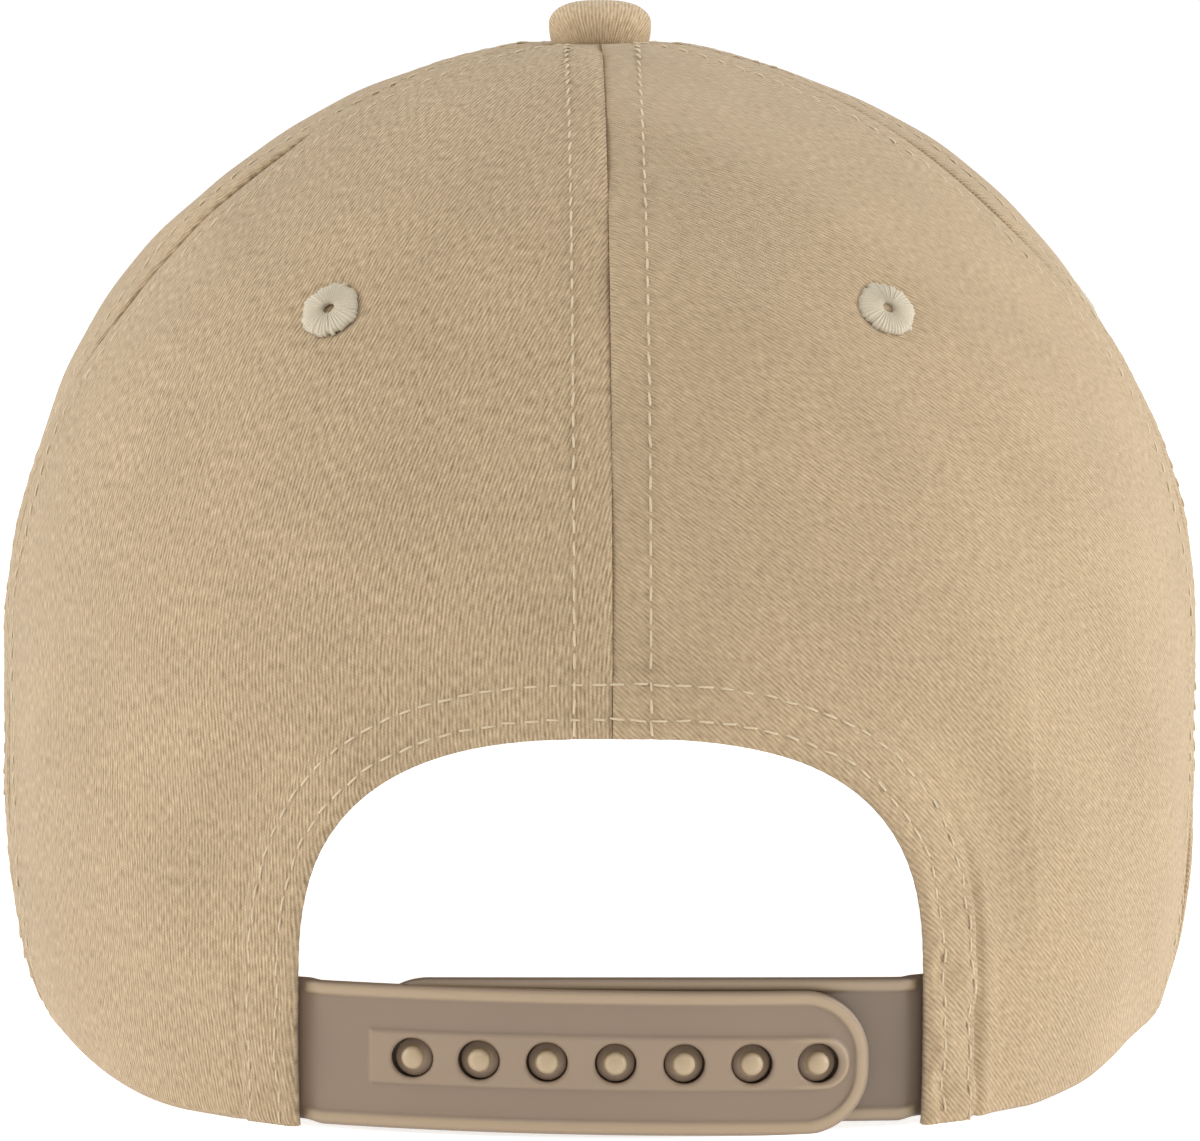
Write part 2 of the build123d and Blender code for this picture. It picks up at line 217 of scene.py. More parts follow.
def rimHeight(turn):
    # level behind, then a gentle climb to the temples, then along the visor
    away = awayFromRear(turn)
    share = np.clip(away - crown["rimLevelTurn"], 0, None) / (visor["templeTurn"] - crown["rimLevelTurn"])
    climb = share ** 2 * (1 + crown["rimEase"]) / (share + crown["rimEase"])
    return np.where(away >= visor["templeTurn"], frontRim(away), frontRim(visor["templeTurn"]) * climb)


# seams and the rear opening

def rearSeam(height):
    return 80 - 20 * np.clip((height - crown["shoulder"]) / crown["dome"], 0, 1) ** 1.73


def frontSeam(height):
    return 127 - 7 * np.clip((height - crown["shoulder"]) / crown["dome"], 0, 1)


def backMiddle(height):
    return 0.0 * height


def frontMiddle(height):
    return 180 + 0.0 * height


arch = {
    "halfWidth": 44.3,
    "leg": 22.0,
    "height": 57.0,
    "power": 2.6,
    "flat": 90.0,            # radius on which the rear wall is unrolled
    "rows": (2.8, 7.6),      # stitched rows, in from the edge
    "hem": 8.6,
}


def archOutline(angle):
    # a superellipse: angle 0 is the right side at the top of the leg and pi the left
    power = 2 / arch["power"]
    x = arch["halfWidth"] * np.sign(np.cos(angle)) * np.abs(np.cos(angle)) ** power
    return x, arch["leg"] + (arch["height"] - arch["leg"]) * np.abs(np.sin(angle)) ** power


def archPath(count, foot=0.0):
    # the whole edge from the left foot over the top to the right foot, evenly spaced
    angle = np.linspace(math.pi, 0, 800)
    x, z = archOutline(angle)
    x = np.concatenate([[-arch["halfWidth"]], x, [arch["halfWidth"]]])
    z = np.concatenate([[foot], z, [foot]])
    run = np.concatenate([[0], np.cumsum(np.hypot(np.diff(x), np.diff(z)))])
    place = np.linspace(0, run[-1], count)
    return np.interp(place, run, x), np.interp(place, run, z)


def unroll(x):
    return arch["flat"] * np.arcsin(np.clip(x / arch["flat"], -1, 1))


def archDistance(x, z):
    # distance outwards from the opening's edge, on the unrolled wall, and the place along it from the top
    pathX, pathZ = archPath(360, -6.0)
    pathX = unroll(pathX)
    flatX, flatZ = unroll(x).ravel(), np.asarray(z, float).ravel()
    near = (np.abs(flatX) < 66) & (flatZ < 76)
    best, place = np.full(flatX.shape, 60.0), np.zeros(flatX.shape)
    away = np.hypot(flatX[near][:, None] - pathX[None, :], flatZ[near][:, None] - pathZ[None, :])
    best[near] = away.min(1)
    step = math.hypot(pathX[180] - pathX[179], pathZ[180] - pathZ[179])
    place[near] = np.abs(away.argmin(1) - 179.5) * step
    return best.reshape(np.shape(x)), place.reshape(np.shape(x))


# mesh building

def makeMesh(name, points, faces, uv=None, paintedHighlight=None):
    points = np.asarray(points, float).reshape(-1, 3) * mm + np.array([0, axisY, 0])
    mesh = bpy.data.meshes.new(name)
    mesh.from_pydata(points.tolist(), [], faces.tolist() if hasattr(faces, "tolist") else faces)
    if uv is not None:
        corner = np.zeros(len(mesh.loops), np.int32)
        mesh.loops.foreach_get("vertex_index", corner)
        layer = mesh.uv_layers.new(name="clothUV")
        layer.data.foreach_set("uv", np.asarray(uv, np.float32).reshape(-1, 2)[corner].ravel())
    if paintedHighlight is not None:
        layer = mesh.attributes.new("paintedHighlight", "FLOAT", "POINT")
        layer.data.foreach_set("value", np.asarray(paintedHighlight, np.float32).ravel())
    mesh.polygons.foreach_set("use_smooth", np.ones(len(mesh.polygons), bool))
    mesh.update()
    piece = bpy.data.objects.new(name, mesh)
    scene.collection.objects.link(piece)
    return piece


def outwards(points, faces):
    # the faces turned round if the volume they enclose comes out negative
    points, faces = np.asarray(points).reshape(-1, 3), np.asarray(faces)
    a, b, c, d = (points[faces[:, i]] for i in range(4))
    volume = (a * np.cross(b, c)).sum() + (a * np.cross(c, d)).sum()
    return faces if volume > 0 else faces[:, ::-1]


def gridFaces(columns, rows, wrap=False):
    corner = np.arange(columns * rows).reshape(columns, rows)
    if wrap:
        corner = np.concatenate([corner, corner[:1]])
    return np.stack([corner[:-1, :-1], corner[1:, :-1], corner[1:, 1:], corner[:-1, 1:]], -1).reshape(-1, 4)


def edgeWalls(faces, shift):
    # a wall from every open edge of the outer sheet to the same edge of the inner one
    edges = np.concatenate([faces[:, [i, (i + 1) % 4]] for i in range(4)])
    key = np.sort(edges, axis=1)
    _, index, uses = np.unique(key, axis=0, return_index=True, return_counts=True)
    edge = edges[index[uses == 1]]
    return np.stack([edge[:, 1], edge[:, 0], edge[:, 0] + shift, edge[:, 1] + shift], -1)


def shellPiece(name, outer, inner, uv, faces=None, paintedHighlight=None):
    # a closed piece between two sheets of the same grid, with walls round its edges
    if faces is None:
        faces = gridFaces(outer.shape[0], outer.shape[1])
    count = outer.size // 3
    points = np.concatenate([outer.reshape(-1, 3), inner.reshape(-1, 3)])
    faces = np.concatenate([faces, faces[:, ::-1] + count, edgeWalls(faces, count)])
    faces = outwards(points, faces)
    used, packed = np.unique(faces, return_inverse=True)
    uv = np.concatenate([uv.reshape(-1, 2)] * 2)
    if paintedHighlight is not None:
        paintedHighlight = np.concatenate([paintedHighlight.ravel(), 0 * paintedHighlight.ravel()])[used]
    return makeMesh(name, points[used], packed.reshape(faces.shape), uv[used], paintedHighlight)


# shaders

def groupTree(name, inputs, outputs):
    tree = bpy.data.node_groups.new(name, "ShaderNodeTree")
    for label, kind, value in inputs:
        socket = tree.interface.new_socket(label, in_out="INPUT", socket_type="NodeSocket" + kind)
        if value is not None:
            socket.default_value = value
    for label, kind in outputs:
        tree.interface.new_socket(label, in_out="OUTPUT", socket_type="NodeSocket" + kind)
    return tree, tree.nodes.new("NodeGroupInput").outputs, tree.nodes.new("NodeGroupOutput").inputs


def plug(tree, value, socket):
    if isinstance(value, bpy.types.NodeSocket):
        tree.links.new(value, socket)
    else:
        socket.default_value = value


def calc(tree, operation, *values):
    node = tree.nodes.new("ShaderNodeMath")
    node.operation = operation
    for value, socket in zip(values, node.inputs):
        plug(tree, value, socket)
    return node.outputs[0]


def blendColor(tree, factor, first, second, kind="MIX"):
    node = tree.nodes.new("ShaderNodeMix")
    node.data_type = "RGBA"
    node.blend_type = kind
    plug(tree, factor, node.inputs[0])
    plug(tree, first, node.inputs[6])
    plug(tree, second, node.inputs[7])
    return node.outputs[2]


def noise(tree, vector, scale, detail=2.0):
    node = tree.nodes.new("ShaderNodeTexNoise")
    for label, value in (("Vector", vector), ("Scale", scale), ("Detail", detail)):
        plug(tree, value, node.inputs[label])
    return node.outputs[0]


def wave(tree, value):
    # a sine with one wave to each whole number, running from 0 to 1
    sine = calc(tree, "SINE", calc(tree, "MULTIPLY", value, 2 * math.pi))
    return calc(tree, "MULTIPLY_ADD", sine, 0.5, 0.5)


def bumped(tree, height, distance, strength=1.0):
    node = tree.nodes.new("ShaderNodeBump")
    for label, value in (("Strength", strength), ("Distance", distance), ("Height", height)):
        plug(tree, value, node.inputs[label])
    return node.outputs[0]


def twillGroup():
    # diagonal ribs of yarn at a pitch in millimetres, each rib broken into short floats
    tree, given, result = groupTree("twill", (
        ("Vector", "Vector", None), ("Angle", "Float", 0.35), ("Pitch", "Float", 0.56),
        ("Dark", "Color", None), ("Light", "Color", None)), (("Color", "Color"), ("Normal", "Vector")))
    spin = tree.nodes.new("ShaderNodeVectorRotate")
    spin.rotation_type = "Z_AXIS"
    plug(tree, given["Vector"], spin.inputs["Vector"])
    plug(tree, given["Angle"], spin.inputs["Angle"])
    part = tree.nodes.new("ShaderNodeSeparateXYZ")
    plug(tree, spin.outputs[0], part.inputs[0])
    wander = calc(tree, "MULTIPLY_ADD", noise(tree, given["Vector"], 0.3), 0.32, -0.16)
    across = calc(tree, "DIVIDE", calc(tree, "ADD", part.outputs[0], wander), given["Pitch"])
    rib = wave(tree, across)
    step = calc(tree, "MULTIPLY", calc(tree, "FLOOR", across), 0.37)
    floats = wave(tree, calc(tree, "MULTIPLY_ADD", part.outputs[1], 2.1, step))
    height = calc(tree, "MULTIPLY", rib, calc(tree, "MULTIPLY_ADD", floats, 0.32, 0.68))
    longYarn = tree.nodes.new("ShaderNodeMapping")
    longYarn.inputs["Scale"].default_value = (2.6, 0.7, 1.0)
    plug(tree, spin.outputs[0], longYarn.inputs["Vector"])
    fleck = noise(tree, longYarn.outputs[0], 1.0, 3.0)
    # painted shade: the valleys between the ribs get the darker colour, while the yarn's flecks vary it as
    # the cloth's own colour
    light = calc(tree, "MULTIPLY_ADD", fleck, 1.3, calc(tree, "MULTIPLY_ADD", height, 0.42, -0.36))
    color = blendColor(tree, light, given["Dark"], given["Light"])
    worn = calc(tree, "MULTIPLY_ADD", noise(tree, given["Vector"], 0.045, 3.0), 0.24, 0.88)
    shade = tree.nodes.new("ShaderNodeCombineColor")
    for socket in shade.inputs[:3]:
        plug(tree, worn, socket)
    plug(tree, blendColor(tree, 1.0, color, shade.outputs[0], "MULTIPLY"), result["Color"])
    fuzz = calc(tree, "MULTIPLY_ADD", fleck, 0.5, height)
    plug(tree, bumped(tree, fuzz, 0.00011, 0.8), result["Normal"])
    return tree


def weaveGroup():
    # a plain weave or net: two crossing sets of threads at a pitch in millimetres
    tree, given, result = groupTree("weave", (
        ("Vector", "Vector", None), ("Pitch", "Float", 0.6),
        ("Dark", "Color", None), ("Light", "Color", None)), (("Color", "Color"), ("Normal", "Vector")))
    part = tree.nodes.new("ShaderNodeSeparateXYZ")
    plug(tree, given["Vector"], part.inputs[0])
    rows = [wave(tree, calc(tree, "DIVIDE", part.outputs[i], given["Pitch"])) for i in (0, 1)]
    height = calc(tree, "MAXIMUM", *rows)
    fleck = noise(tree, given["Vector"], 1.5, 3.0)
    # painted shade: the gaps between the threads get the darker colour, on top of the threads' own flecks
    light = calc(tree, "MULTIPLY_ADD", fleck, 0.6, calc(tree, "MULTIPLY_ADD", height, 0.8, -0.3))
    plug(tree, blendColor(tree, light, given["Dark"], given["Light"]), result["Color"])
    plug(tree, bumped(tree, calc(tree, "MULTIPLY_ADD", fleck, 0.3, height), 0.0001, 0.7), result["Normal"])
    return tree


def grainGroup():
    # a fine moulded or spun grain from object coordinates, with a soft change of shade
    tree, given, result = groupTree("grain", (
        ("Scale", "Float", 900.0), ("Depth", "Float", 0.5),
        ("Dark", "Color", None), ("Light", "Color", None)), (("Color", "Color"), ("Normal", "Vector")))
    place = tree.nodes.new("ShaderNodeTexCoord").outputs["Object"]
    fine, broad = noise(tree, place, given["Scale"]), noise(tree, place, 60.0)
    light = calc(tree, "MULTIPLY_ADD", fine, 0.5, calc(tree, "MULTIPLY", broad, 0.5))
    plug(tree, blendColor(tree, light, given["Dark"], given["Light"]), result["Color"])
    plug(tree, bumped(tree, fine, 0.0001, given["Depth"]), result["Normal"])
    return tree


def mouldingGroup():
    # satin plastic with a painted highlight: paler and yellower on the rims, the platform and the peg heads,
    # as if they caught the light
    tree, given, result = groupTree("moulding", (
        ("Dark", "Color", None), ("Light", "Color", None), ("Raised", "Color", None)),
        (("Color", "Color"), ("Normal", "Vector")))
    place = tree.nodes.new("ShaderNodeTexCoord").outputs["Object"]
    paintedHighlight = tree.nodes.new("ShaderNodeAttribute")
    paintedHighlight.attribute_name = "paintedHighlight"
    highlightShare = calc(tree, "MINIMUM", paintedHighlight.outputs["Fac"], 1.42)
    fine = noise(tree, place, 2500.0)
    base = blendColor(tree, noise(tree, place, 60.0), given["Dark"], given["Light"])
    color = blendColor(tree, calc(tree, "MULTIPLY", highlightShare, 0.70), base, given["Raised"])
    plug(tree, color, result["Color"])
    plug(tree, bumped(tree, fine, 0.0001, 0.1), result["Normal"])
    return tree


groups = {"twill": twillGroup(), "weave": weaveGroup(), "grain": grainGroup(), "moulding": mouldingGroup()}


def material(name, kind, roughness, uvCloth=False, metallic=0.0, sheen=0.0, **values):
    made = bpy.data.materials.new(name)
    made.use_nodes = True
    tree = made.node_tree
    surface = tree.nodes["Principled BSDF"]
    finish = {"Roughness": roughness, "Metallic": metallic, "Sheen Weight": sheen, "Sheen Roughness": 0.5,
              "Specular IOR Level": 0.25 if uvCloth else 0.45}
    for label, value in finish.items():
        surface.inputs[label].default_value = value
    look = tree.nodes.new("ShaderNodeGroup")
    look.node_tree = groups[kind]
    for label, value in values.items():
        look.inputs[label].default_value = (*value, 1) if isinstance(value, tuple) else value
    if uvCloth:
        source = tree.nodes.new("ShaderNodeUVMap")
        source.uv_map = "clothUV"
        tree.links.new(source.outputs[0], look.inputs["Vector"])
    tree.links.new(look.outputs["Color"], surface.inputs["Base Color"])
    tree.links.new(look.outputs["Normal"], surface.inputs["Normal"])
    return made


# the darker colour is painted into the valleys between the ribs, partly as their shade
clothDark, clothLight = (0.205, 0.140, 0.076), (0.545, 0.415, 0.262)


def twill(name, degrees, dark=clothDark, light=clothLight):
    return material(name, "twill", 0.92, True, sheen=0.12,
                    Angle=math.radians(degrees), Dark=dark, Light=light)


looks = {
    # the same cloth on either side: twillCross has less contrast between valleys and ribs, as the painted
    # valley shade is weaker under the light on the right
    "twillLean": twill("twillLean", -1, (0.182, 0.122, 0.064), (0.568, 0.434, 0.274)),
    "twillCross": twill("twillCross", -47, (0.240, 0.168, 0.095), (0.510, 0.387, 0.243)),
    "twillVisor": twill("twillVisor", 35),
    "twillBand": twill("twillBand", 50),
    "tape": material("tapeWeave", "weave", 0.9, True, sheen=0.1, Pitch=0.7,
                     Dark=(0.30, 0.22, 0.14), Light=(0.55, 0.43, 0.30)),
    "net": material("buckramNet", "weave", 0.85, True, Pitch=1.3,
                    Dark=(0.26, 0.24, 0.20), Light=(0.78, 0.75, 0.68)),
    "thread": material("stitchThread", "grain", 0.7, sheen=0.2, Scale=5000.0, Depth=0.3,
                       Dark=(0.38, 0.295, 0.185), Light=(0.64, 0.525, 0.355)),
    "eyelet": material("eyeletThread", "grain", 0.6, sheen=0.3, Scale=4000.0, Depth=0.3,
                       Dark=(0.32, 0.27, 0.19), Light=(0.56, 0.49, 0.365)),
    "strap": material("strapPlastic", "moulding", 0.42, Dark=(0.188, 0.132, 0.089),
                      Light=(0.216, 0.152, 0.103), Raised=(0.370, 0.277, 0.173)),
    # painted shade: the same plastic as the strap with holes, made darker because the peg strap lies in the
    # shadow of the cloth
    "pegStrapInShade": material("pegPlasticShaded", "moulding", 0.42, Dark=(0.134, 0.096, 0.068),
                         Light=(0.153, 0.110, 0.078), Raised=(0.325, 0.243, 0.152)),
    "button": twill("twillButton", -1, (0.262, 0.182, 0.102), (0.655, 0.502, 0.322)),
    "board": material("boardPlastic", "grain", 0.6, Scale=700.0, Depth=0.4,
                      Dark=(0.62, 0.62, 0.60), Light=(0.72, 0.72, 0.70)),
    "steel": material("buttonSteel", "grain", 0.35, metallic=1.0, Scale=1500.0, Depth=0.15,
                      Dark=(0.50, 0.50, 0.50), Light=(0.66, 0.66, 0.65)),
}


def dress(piece, look, body="crown", replaces=()):
    piece.data.materials.clear()
    piece.data.materials.append(looks[look])
    if body:
        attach(piece, body)
    if replaces:
        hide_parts(*replaces)


# the panels' relief: allowances under the cloth, rolled seams, stitch dents and puckers

seam = {
    "allowance": 7.2,
    "raise": 0.26,
    "roll": 0.36,
    "rollWidth": 0.55,
    "row": 5.3,              # stitched row, out from the seam
    "pitch": 3.1,
    "dent": 0.30,
    "dentWidth": 0.6,
    "pucker": 0.07,
}
panels = {
    "rear": {"seams": (backMiddle, rearSeam), "eyelet": (33.0, 115.0), "seed": 11},
    "side": {"seams": (rearSeam, frontSeam), "eyelet": (98.0, 112.0), "seed": 23},
    "front": {"seams": (frontSeam, frontMiddle), "eyelet": (151.0, 112.0), "seed": 37},
}
eyelet = {"radius": 4.3, "hole": 0.85, "thickness": 1.2, "strands": 44}


def seamRelief(distance, place, seed):
    row = bell(distance, seam["row"], seam["dentWidth"])
    dent = row * (0.72 - 0.28 * np.cos(2 * math.pi * place / seam["pitch"]))
    strength = 1 + ripple(place, 0 * place, seed, (31, 17, 9), 0.4)
    swell = seam["raise"] * (1 - ease(distance, seam["allowance"] - 0.8, seam["allowance"] + 1.6))
    roll = seam["roll"] * bell(distance, 0, seam["rollWidth"])
    crease = np.sin(2 * math.pi * place / seam["pitch"] + ripple(place, distance, seed + 1, (14, 23), 1.6))
    pucker = seam["pucker"] * crease * bell(distance, seam["row"], 2.6) * strength
    return swell - roll - seam["dent"] * dent * strength + pucker


def archRelief(distance, place, side):
    # a folded hem, heavier and more puckered on the right leg
    heavy = 1 + 0.5 * ease(side * 1.0, 0, 1)
    inHem = 1 - ease(distance, arch["hem"] - 0.5, arch["hem"] + 0.9)
    relief = 0.42 * heavy * inHem - 0.75 * np.clip(1 - distance / 1.3, 0, 1) ** 2
    rough = ripple(place, distance, 61 + int(side), (6.2, 3.4, 11), 0.5)
    leg = ease(place, 45, 62) * (0.35 + 0.65 * (side > 0))
    twist = ripple(place, 1.6 * distance, 66 + int(side), (13, 8.5, 19), 0.50) * leg
    for row, depth in zip(arch["rows"], (0.22, 0.34)):
        pulled = 0.72 - 0.28 * np.cos(2 * math.pi * place / seam["pitch"])
        relief = relief - depth * heavy * bell(distance, row + 0.12 * rough, 0.55) * pulled
    relief = relief - (0.16 + 0.42 * leg) * heavy * bell(distance, arch["hem"] + 0.8 + 0.2 * rough, 0.8)
    # a soft hollow dragged outwards from the corner of the opening, deeper on the right
    hollow = (0.5 + 0.6 * (side > 0)) * bell(distance, 15 + 0.25 * (place - 44), 6) * bell(place, 44, 13)
    relief = relief - hollow - (0.35 * hollow + 0.3 * leg * bell(distance, 14, 5)) * ease(distance, 10, 14)
    relief = relief + (0.3 + 0.6 * (side > 0)) * bell(distance, 27, 8) * bell(place, 54, 17)
    relief = relief + twist * (1 - ease(distance, 6, 13)) * ease(distance, 0.3, 2.5)
    return relief + 0.12 * heavy * rough * bell(distance, arch["rows"][1] - 0.6, 2.0)


def panelRelief(name, side, turn, rise):
    # turn is measured away from the rear on either side; the two sides get different lumps
    facts = panels[name]
    height = heightAt(rise)
    radius = crown["halfWidth"] * spreadAt(turn, height)
    along = crown["dome"] * rise
    seed = facts["seed"] + (3 if side > 0 else 0)
    first = np.radians(turn - facts["seams"][0](height)) * radius
    last = np.radians(facts["seams"][1](height) - turn) * radius
    relief = np.minimum(seamRelief(first, along, seed), 9) + seamRelief(last, along, seed + 7)
    fade = ease(radius, 5, 16)
    middle = np.radians(turn - 0.5 * (facts["seams"][0](height) + facts["seams"][1](height))) * radius
    relief = relief + ripple(middle, along, seed + 1, (74, 51, 33), 0.34)
    relief = relief + ripple(middle, along, seed + 2, (21, 13), 0.07)
    if name == "rear":
        x = np.abs(crownAt(turn, height)[..., 0])
        distance, place = archDistance(x, height)
        relief = relief + archRelief(distance, place, side)
    rim = height - rimHeight(turn)
    relief = relief - 0.5 * np.clip(1 - rim / 1.4, 0, 1) ** 2
    away = np.radians(turn - facts["eyelet"][0]) * radius
    up = crown["dome"] * (rise - riseAt(facts["eyelet"][1]))
    ring = np.hypot(away, up)
    relief = relief - 0.35 * bell(ring, eyelet["radius"] + 0.2, 1.1) - 0.3 * (ring < eyelet["radius"])
    return relief * fade - 0.3 * (1 - fade)


def onPanel(name, side, turn, rise, lift=0.0):
    relief = panelRelief(name, side, turn, rise) + lift
    return layerAt(side * turn, rise, -relief), crownNormal(side * turn, rise)


def rearGrid():
    # a patch between the arch, the lower edge, the rear seam and the back seam, in the unrolled gore
    columns, rows = 132, 104

    def flatten(turn, height):
        across = np.radians(turn) * crown["halfWidth"] * spreadAt(turn, height)
        return np.stack([across, crown["dome"] * riseAt(height)], -1)

    def spaced(points, shares):
        run = np.concatenate([[0], np.cumsum(np.hypot(*np.diff(points, axis=0).T))])
        return np.stack([np.interp(shares * run[-1], run, points[:, i]) for i in (0, 1)], -1)

    x, z = archPath(801)
    x, z = x[400:], z[400:]
    z[0], x[0] = arch["height"], 0.0
    archLine = flatten(rearTurn(x, z), z)
    topRise = math.acos(crown["topRadius"] / crown["halfWidth"])
    rise = np.linspace(topRise, riseAt(rimHeight(80.0)), 400)
    radius = np.maximum(crown["halfWidth"] * np.cos(np.maximum(rise, 0)), 1)
    seamTurn = rearSeam(heightAt(rise)) - np.degrees(cloth["seamGap"] / 2 / radius)
    seamLine = flatten(seamTurn, heightAt(rise))
    backRise = np.linspace(riseAt(arch["height"]), topRise, 300)
    backLine = np.stack([np.full(300, cloth["seamGap"] / 2), crown["dome"] * backRise], -1)
    backLine = np.concatenate([archLine[:1], backLine[1:], seamLine[:1]])
    rimTurn = np.linspace(float(rearTurn(arch["halfWidth"], 0.0)), seamTurn[-1], 200)
    rimLine = flatten(rimTurn, rimHeight(rimTurn))
    rimLine = np.concatenate([archLine[-1:], rimLine[1:-1], seamLine[-1:]])
    u, v = np.linspace(0, 1, columns), np.linspace(0, 1, rows) ** 1.25
    low, high = spaced(archLine, u)[:, None], spaced(seamLine, u)[:, None]
    start, end = spaced(backLine, v)[None], spaced(rimLine, v)[None]
    u, v = u[:, None, None], v[None, :, None]
    grid = (1 - v) * low + v * high + (1 - u) * start + u * end
    grid = grid - ((1 - u) * (1 - v) * low[0, 0] + u * (1 - v) * low[-1, 0]
                   + (1 - u) * v * high[0, 0] + u * v * high[-1, 0])
    rise = grid[..., 1] / crown["dome"]
    turn = np.degrees(grid[..., 0] / (crown["halfWidth"] * spreadAt(40, heightAt(rise))))
    for _ in range(3):
        turn = np.degrees(grid[..., 0] / (crown["halfWidth"] * spreadAt(turn, heightAt(rise))))
    return turn, rise


def seamGrid(name):
    # straight from seam to seam and from the lower edge to the top
    columns, rows = 96, 132
    first, last = panels[name]["seams"]
    across = np.linspace(0, 1, columns)[:, None]
    foot = first(0.0) + (last(0.0) - first(0.0)) * across
    low = riseAt(rimHeight(foot))
    rise = low + (math.acos(crown["topRadius"] / crown["halfWidth"]) - low) * np.linspace(0, 1, rows)[None, :]
    height = heightAt(rise)
    inset = np.degrees(cloth["seamGap"] / 2 / (crown["halfWidth"] * spreadAt(90, height)))
    start, end = first(height) + inset, last(height) - inset
    return start + (end - start) * across, rise


def unrolled(name, turn, rise):
    # across the gore and up it, in millimetres
    first, last = panels[name]["seams"]
    height = heightAt(rise)
    middle = 0.5 * (first(height) + last(height))
    across = np.radians(turn - middle) * crown["halfWidth"] * spreadAt(turn, height)
    return np.stack([across, crown["dome"] * rise], -1)


grids = {"rear": rearGrid(), "side": seamGrid("side"), "front": seamGrid("front")}
for name, (turn, rise) in grids.items():
    for word, side in (("left", -1), ("right", 1)):
        relief = panelRelief(name, side, turn, rise)
        outer = layerAt(side * turn, rise, -relief)
        inner = layerAt(side * turn, rise, cloth["thickness"] - 0.5 * relief)
        uv = unrolled(name, turn, rise) * (side, 1) + (panels[name]["seed"] * 7.0, 0)
        node = name + "_panel_" + word
        piece = shellPiece(name + word.capitalize() + "Cloth", outer, inner, uv)
        dress(piece, "twillLean" if side < 0 else "twillCross", replaces=[node])
print("panels made")


# stitches: short rounded threads whose ends dive into the cloth

def stitches(name, points, along, normals, length=2.4, radius=0.18, proud=0.06, seed=5):
    rng = np.random.default_rng(seed)
    points, along, normals = (np.concatenate([np.reshape(row, (-1, 3)) for row in rows])
                              for rows in (points, along, normals))
    count = len(points)
    along = unit(along)
    side = unit(np.cross(normals, along))
    along = unit(along + side * rng.normal(0, 0.05, (count, 1)))
    side = unit(np.cross(normals, along))
    share = np.array([-0.5, -0.40, -0.16, 0.16, 0.40, 0.5])
    thick = np.array([0.55, 0.9, 1.0, 1.0, 0.9, 0.55]) * radius
    rise = np.array([-0.30, -0.04, 0.04, 0.04, -0.04, -0.30]) + proud
    size = length * rng.uniform(0.92, 1.06, count)
    spine = (points[:, None] + along[:, None] * (share[None, :, None] * size[:, None, None])
             + normals[:, None] * rise[None, :, None])
    angle = np.arange(6) * math.pi / 3
    ring = (side[:, None, None] * np.cos(angle)[None, None, :, None]
            + normals[:, None, None] * np.sin(angle)[None, None, :, None]) * thick[None, :, None, None]
    verts = (spine[:, :, None] + ring).reshape(count, -1, 3)
    # six rings of six points, closed by two quads at either end
    tube = [(6 * k + i, 6 * k + (i + 1) % 6, 6 * k + 6 + (i + 1) % 6, 6 * k + 6 + i)
            for k in range(5) for i in range(6)]
    tube += [(3, 2, 1, 0), (5, 4, 3, 0), (30, 31, 32, 33), (30, 33, 34, 35)]
    faces = outwards(verts[0], np.array(tube))
    faces = (faces[None] + 36 * np.arange(count)[:, None, None]).reshape(-1, 4)
    print(name, count, "stitches")
    return makeMesh(name, verts, faces)


topRow = float(heightAt(math.acos(10.2 / crown["halfWidth"])))


def seamRow(name, side, which, low):
    # places along one stitched row: beside which seam of the panel, and from what height
    pitch = seam["pitch"] / crown["dome"]
    rise = np.arange(riseAt(low), riseAt(topRow), pitch)
    height = heightAt(rise)
    radius = crown["halfWidth"] * spreadAt(90, height)
    sign = 1 if which == 0 else -1
    turn = panels[name]["seams"][which](height) + sign * np.degrees(seam["row"] / radius)
    point, normal = onPanel(name, side, turn, rise)
    ahead, _ = onPanel(name, side, turn, rise + 0.5 * pitch)
    return point, ahead - point, normal


# panel, which of its seams, and the height at which the row starts
rowStarts = (("rear", 0, arch["height"] + 1.6), ("rear", 1, 9.0), ("side", 0, 9.0), ("side", 1, 24.0),
             ("front", 0, 26.0), ("front", 1, 37.0))
rows = [seamRow(name, side, which, low) for side in (-1, 1) for name, which, low in rowStarts]
dress(stitches("crownStitches", *zip(*rows)), "thread")

rows = []
for number, offset in enumerate(arch["rows"]):
    rough = np.random.default_rng(70 + number)
    for side in (-1, 1):
        x, z = archPath(1601)
        flat, z = unroll(x[800:]), z[800:]
        runX, runZ = np.gradient(flat), np.gradient(z)
        # the flattened edge pushed outwards by the row's own distance
        out = offset / np.hypot(runX, runZ)
        flat, z = flat + np.abs(runZ) * out, z + np.abs(runX) * out
        run = np.concatenate([[0], np.cumsum(np.hypot(np.diff(flat), np.diff(z)))])
        place = np.arange(0.5 if side > 0 else 2.0, run[-1] - 1.0, seam["pitch"])
        ragged = rough.normal(0, 0.16 * (1 + (side > 0)), len(place))
        flatX = np.interp(place, run, flat) + ragged * 0.5
        z = np.interp(place, run, z) + ragged * 0.3
        x = arch["flat"] * np.sin(flatX / arch["flat"])
        point, normal = onPanel("rear", side, rearTurn(x, z), riseAt(z))
        rows.append((point, np.gradient(point, axis=0), normal))
dress(stitches("archStitches", *zip(*rows), length=2.3, seed=8), "thread")
print("crown stitches made")


# eyelets: satin stitches laid radially over a ring

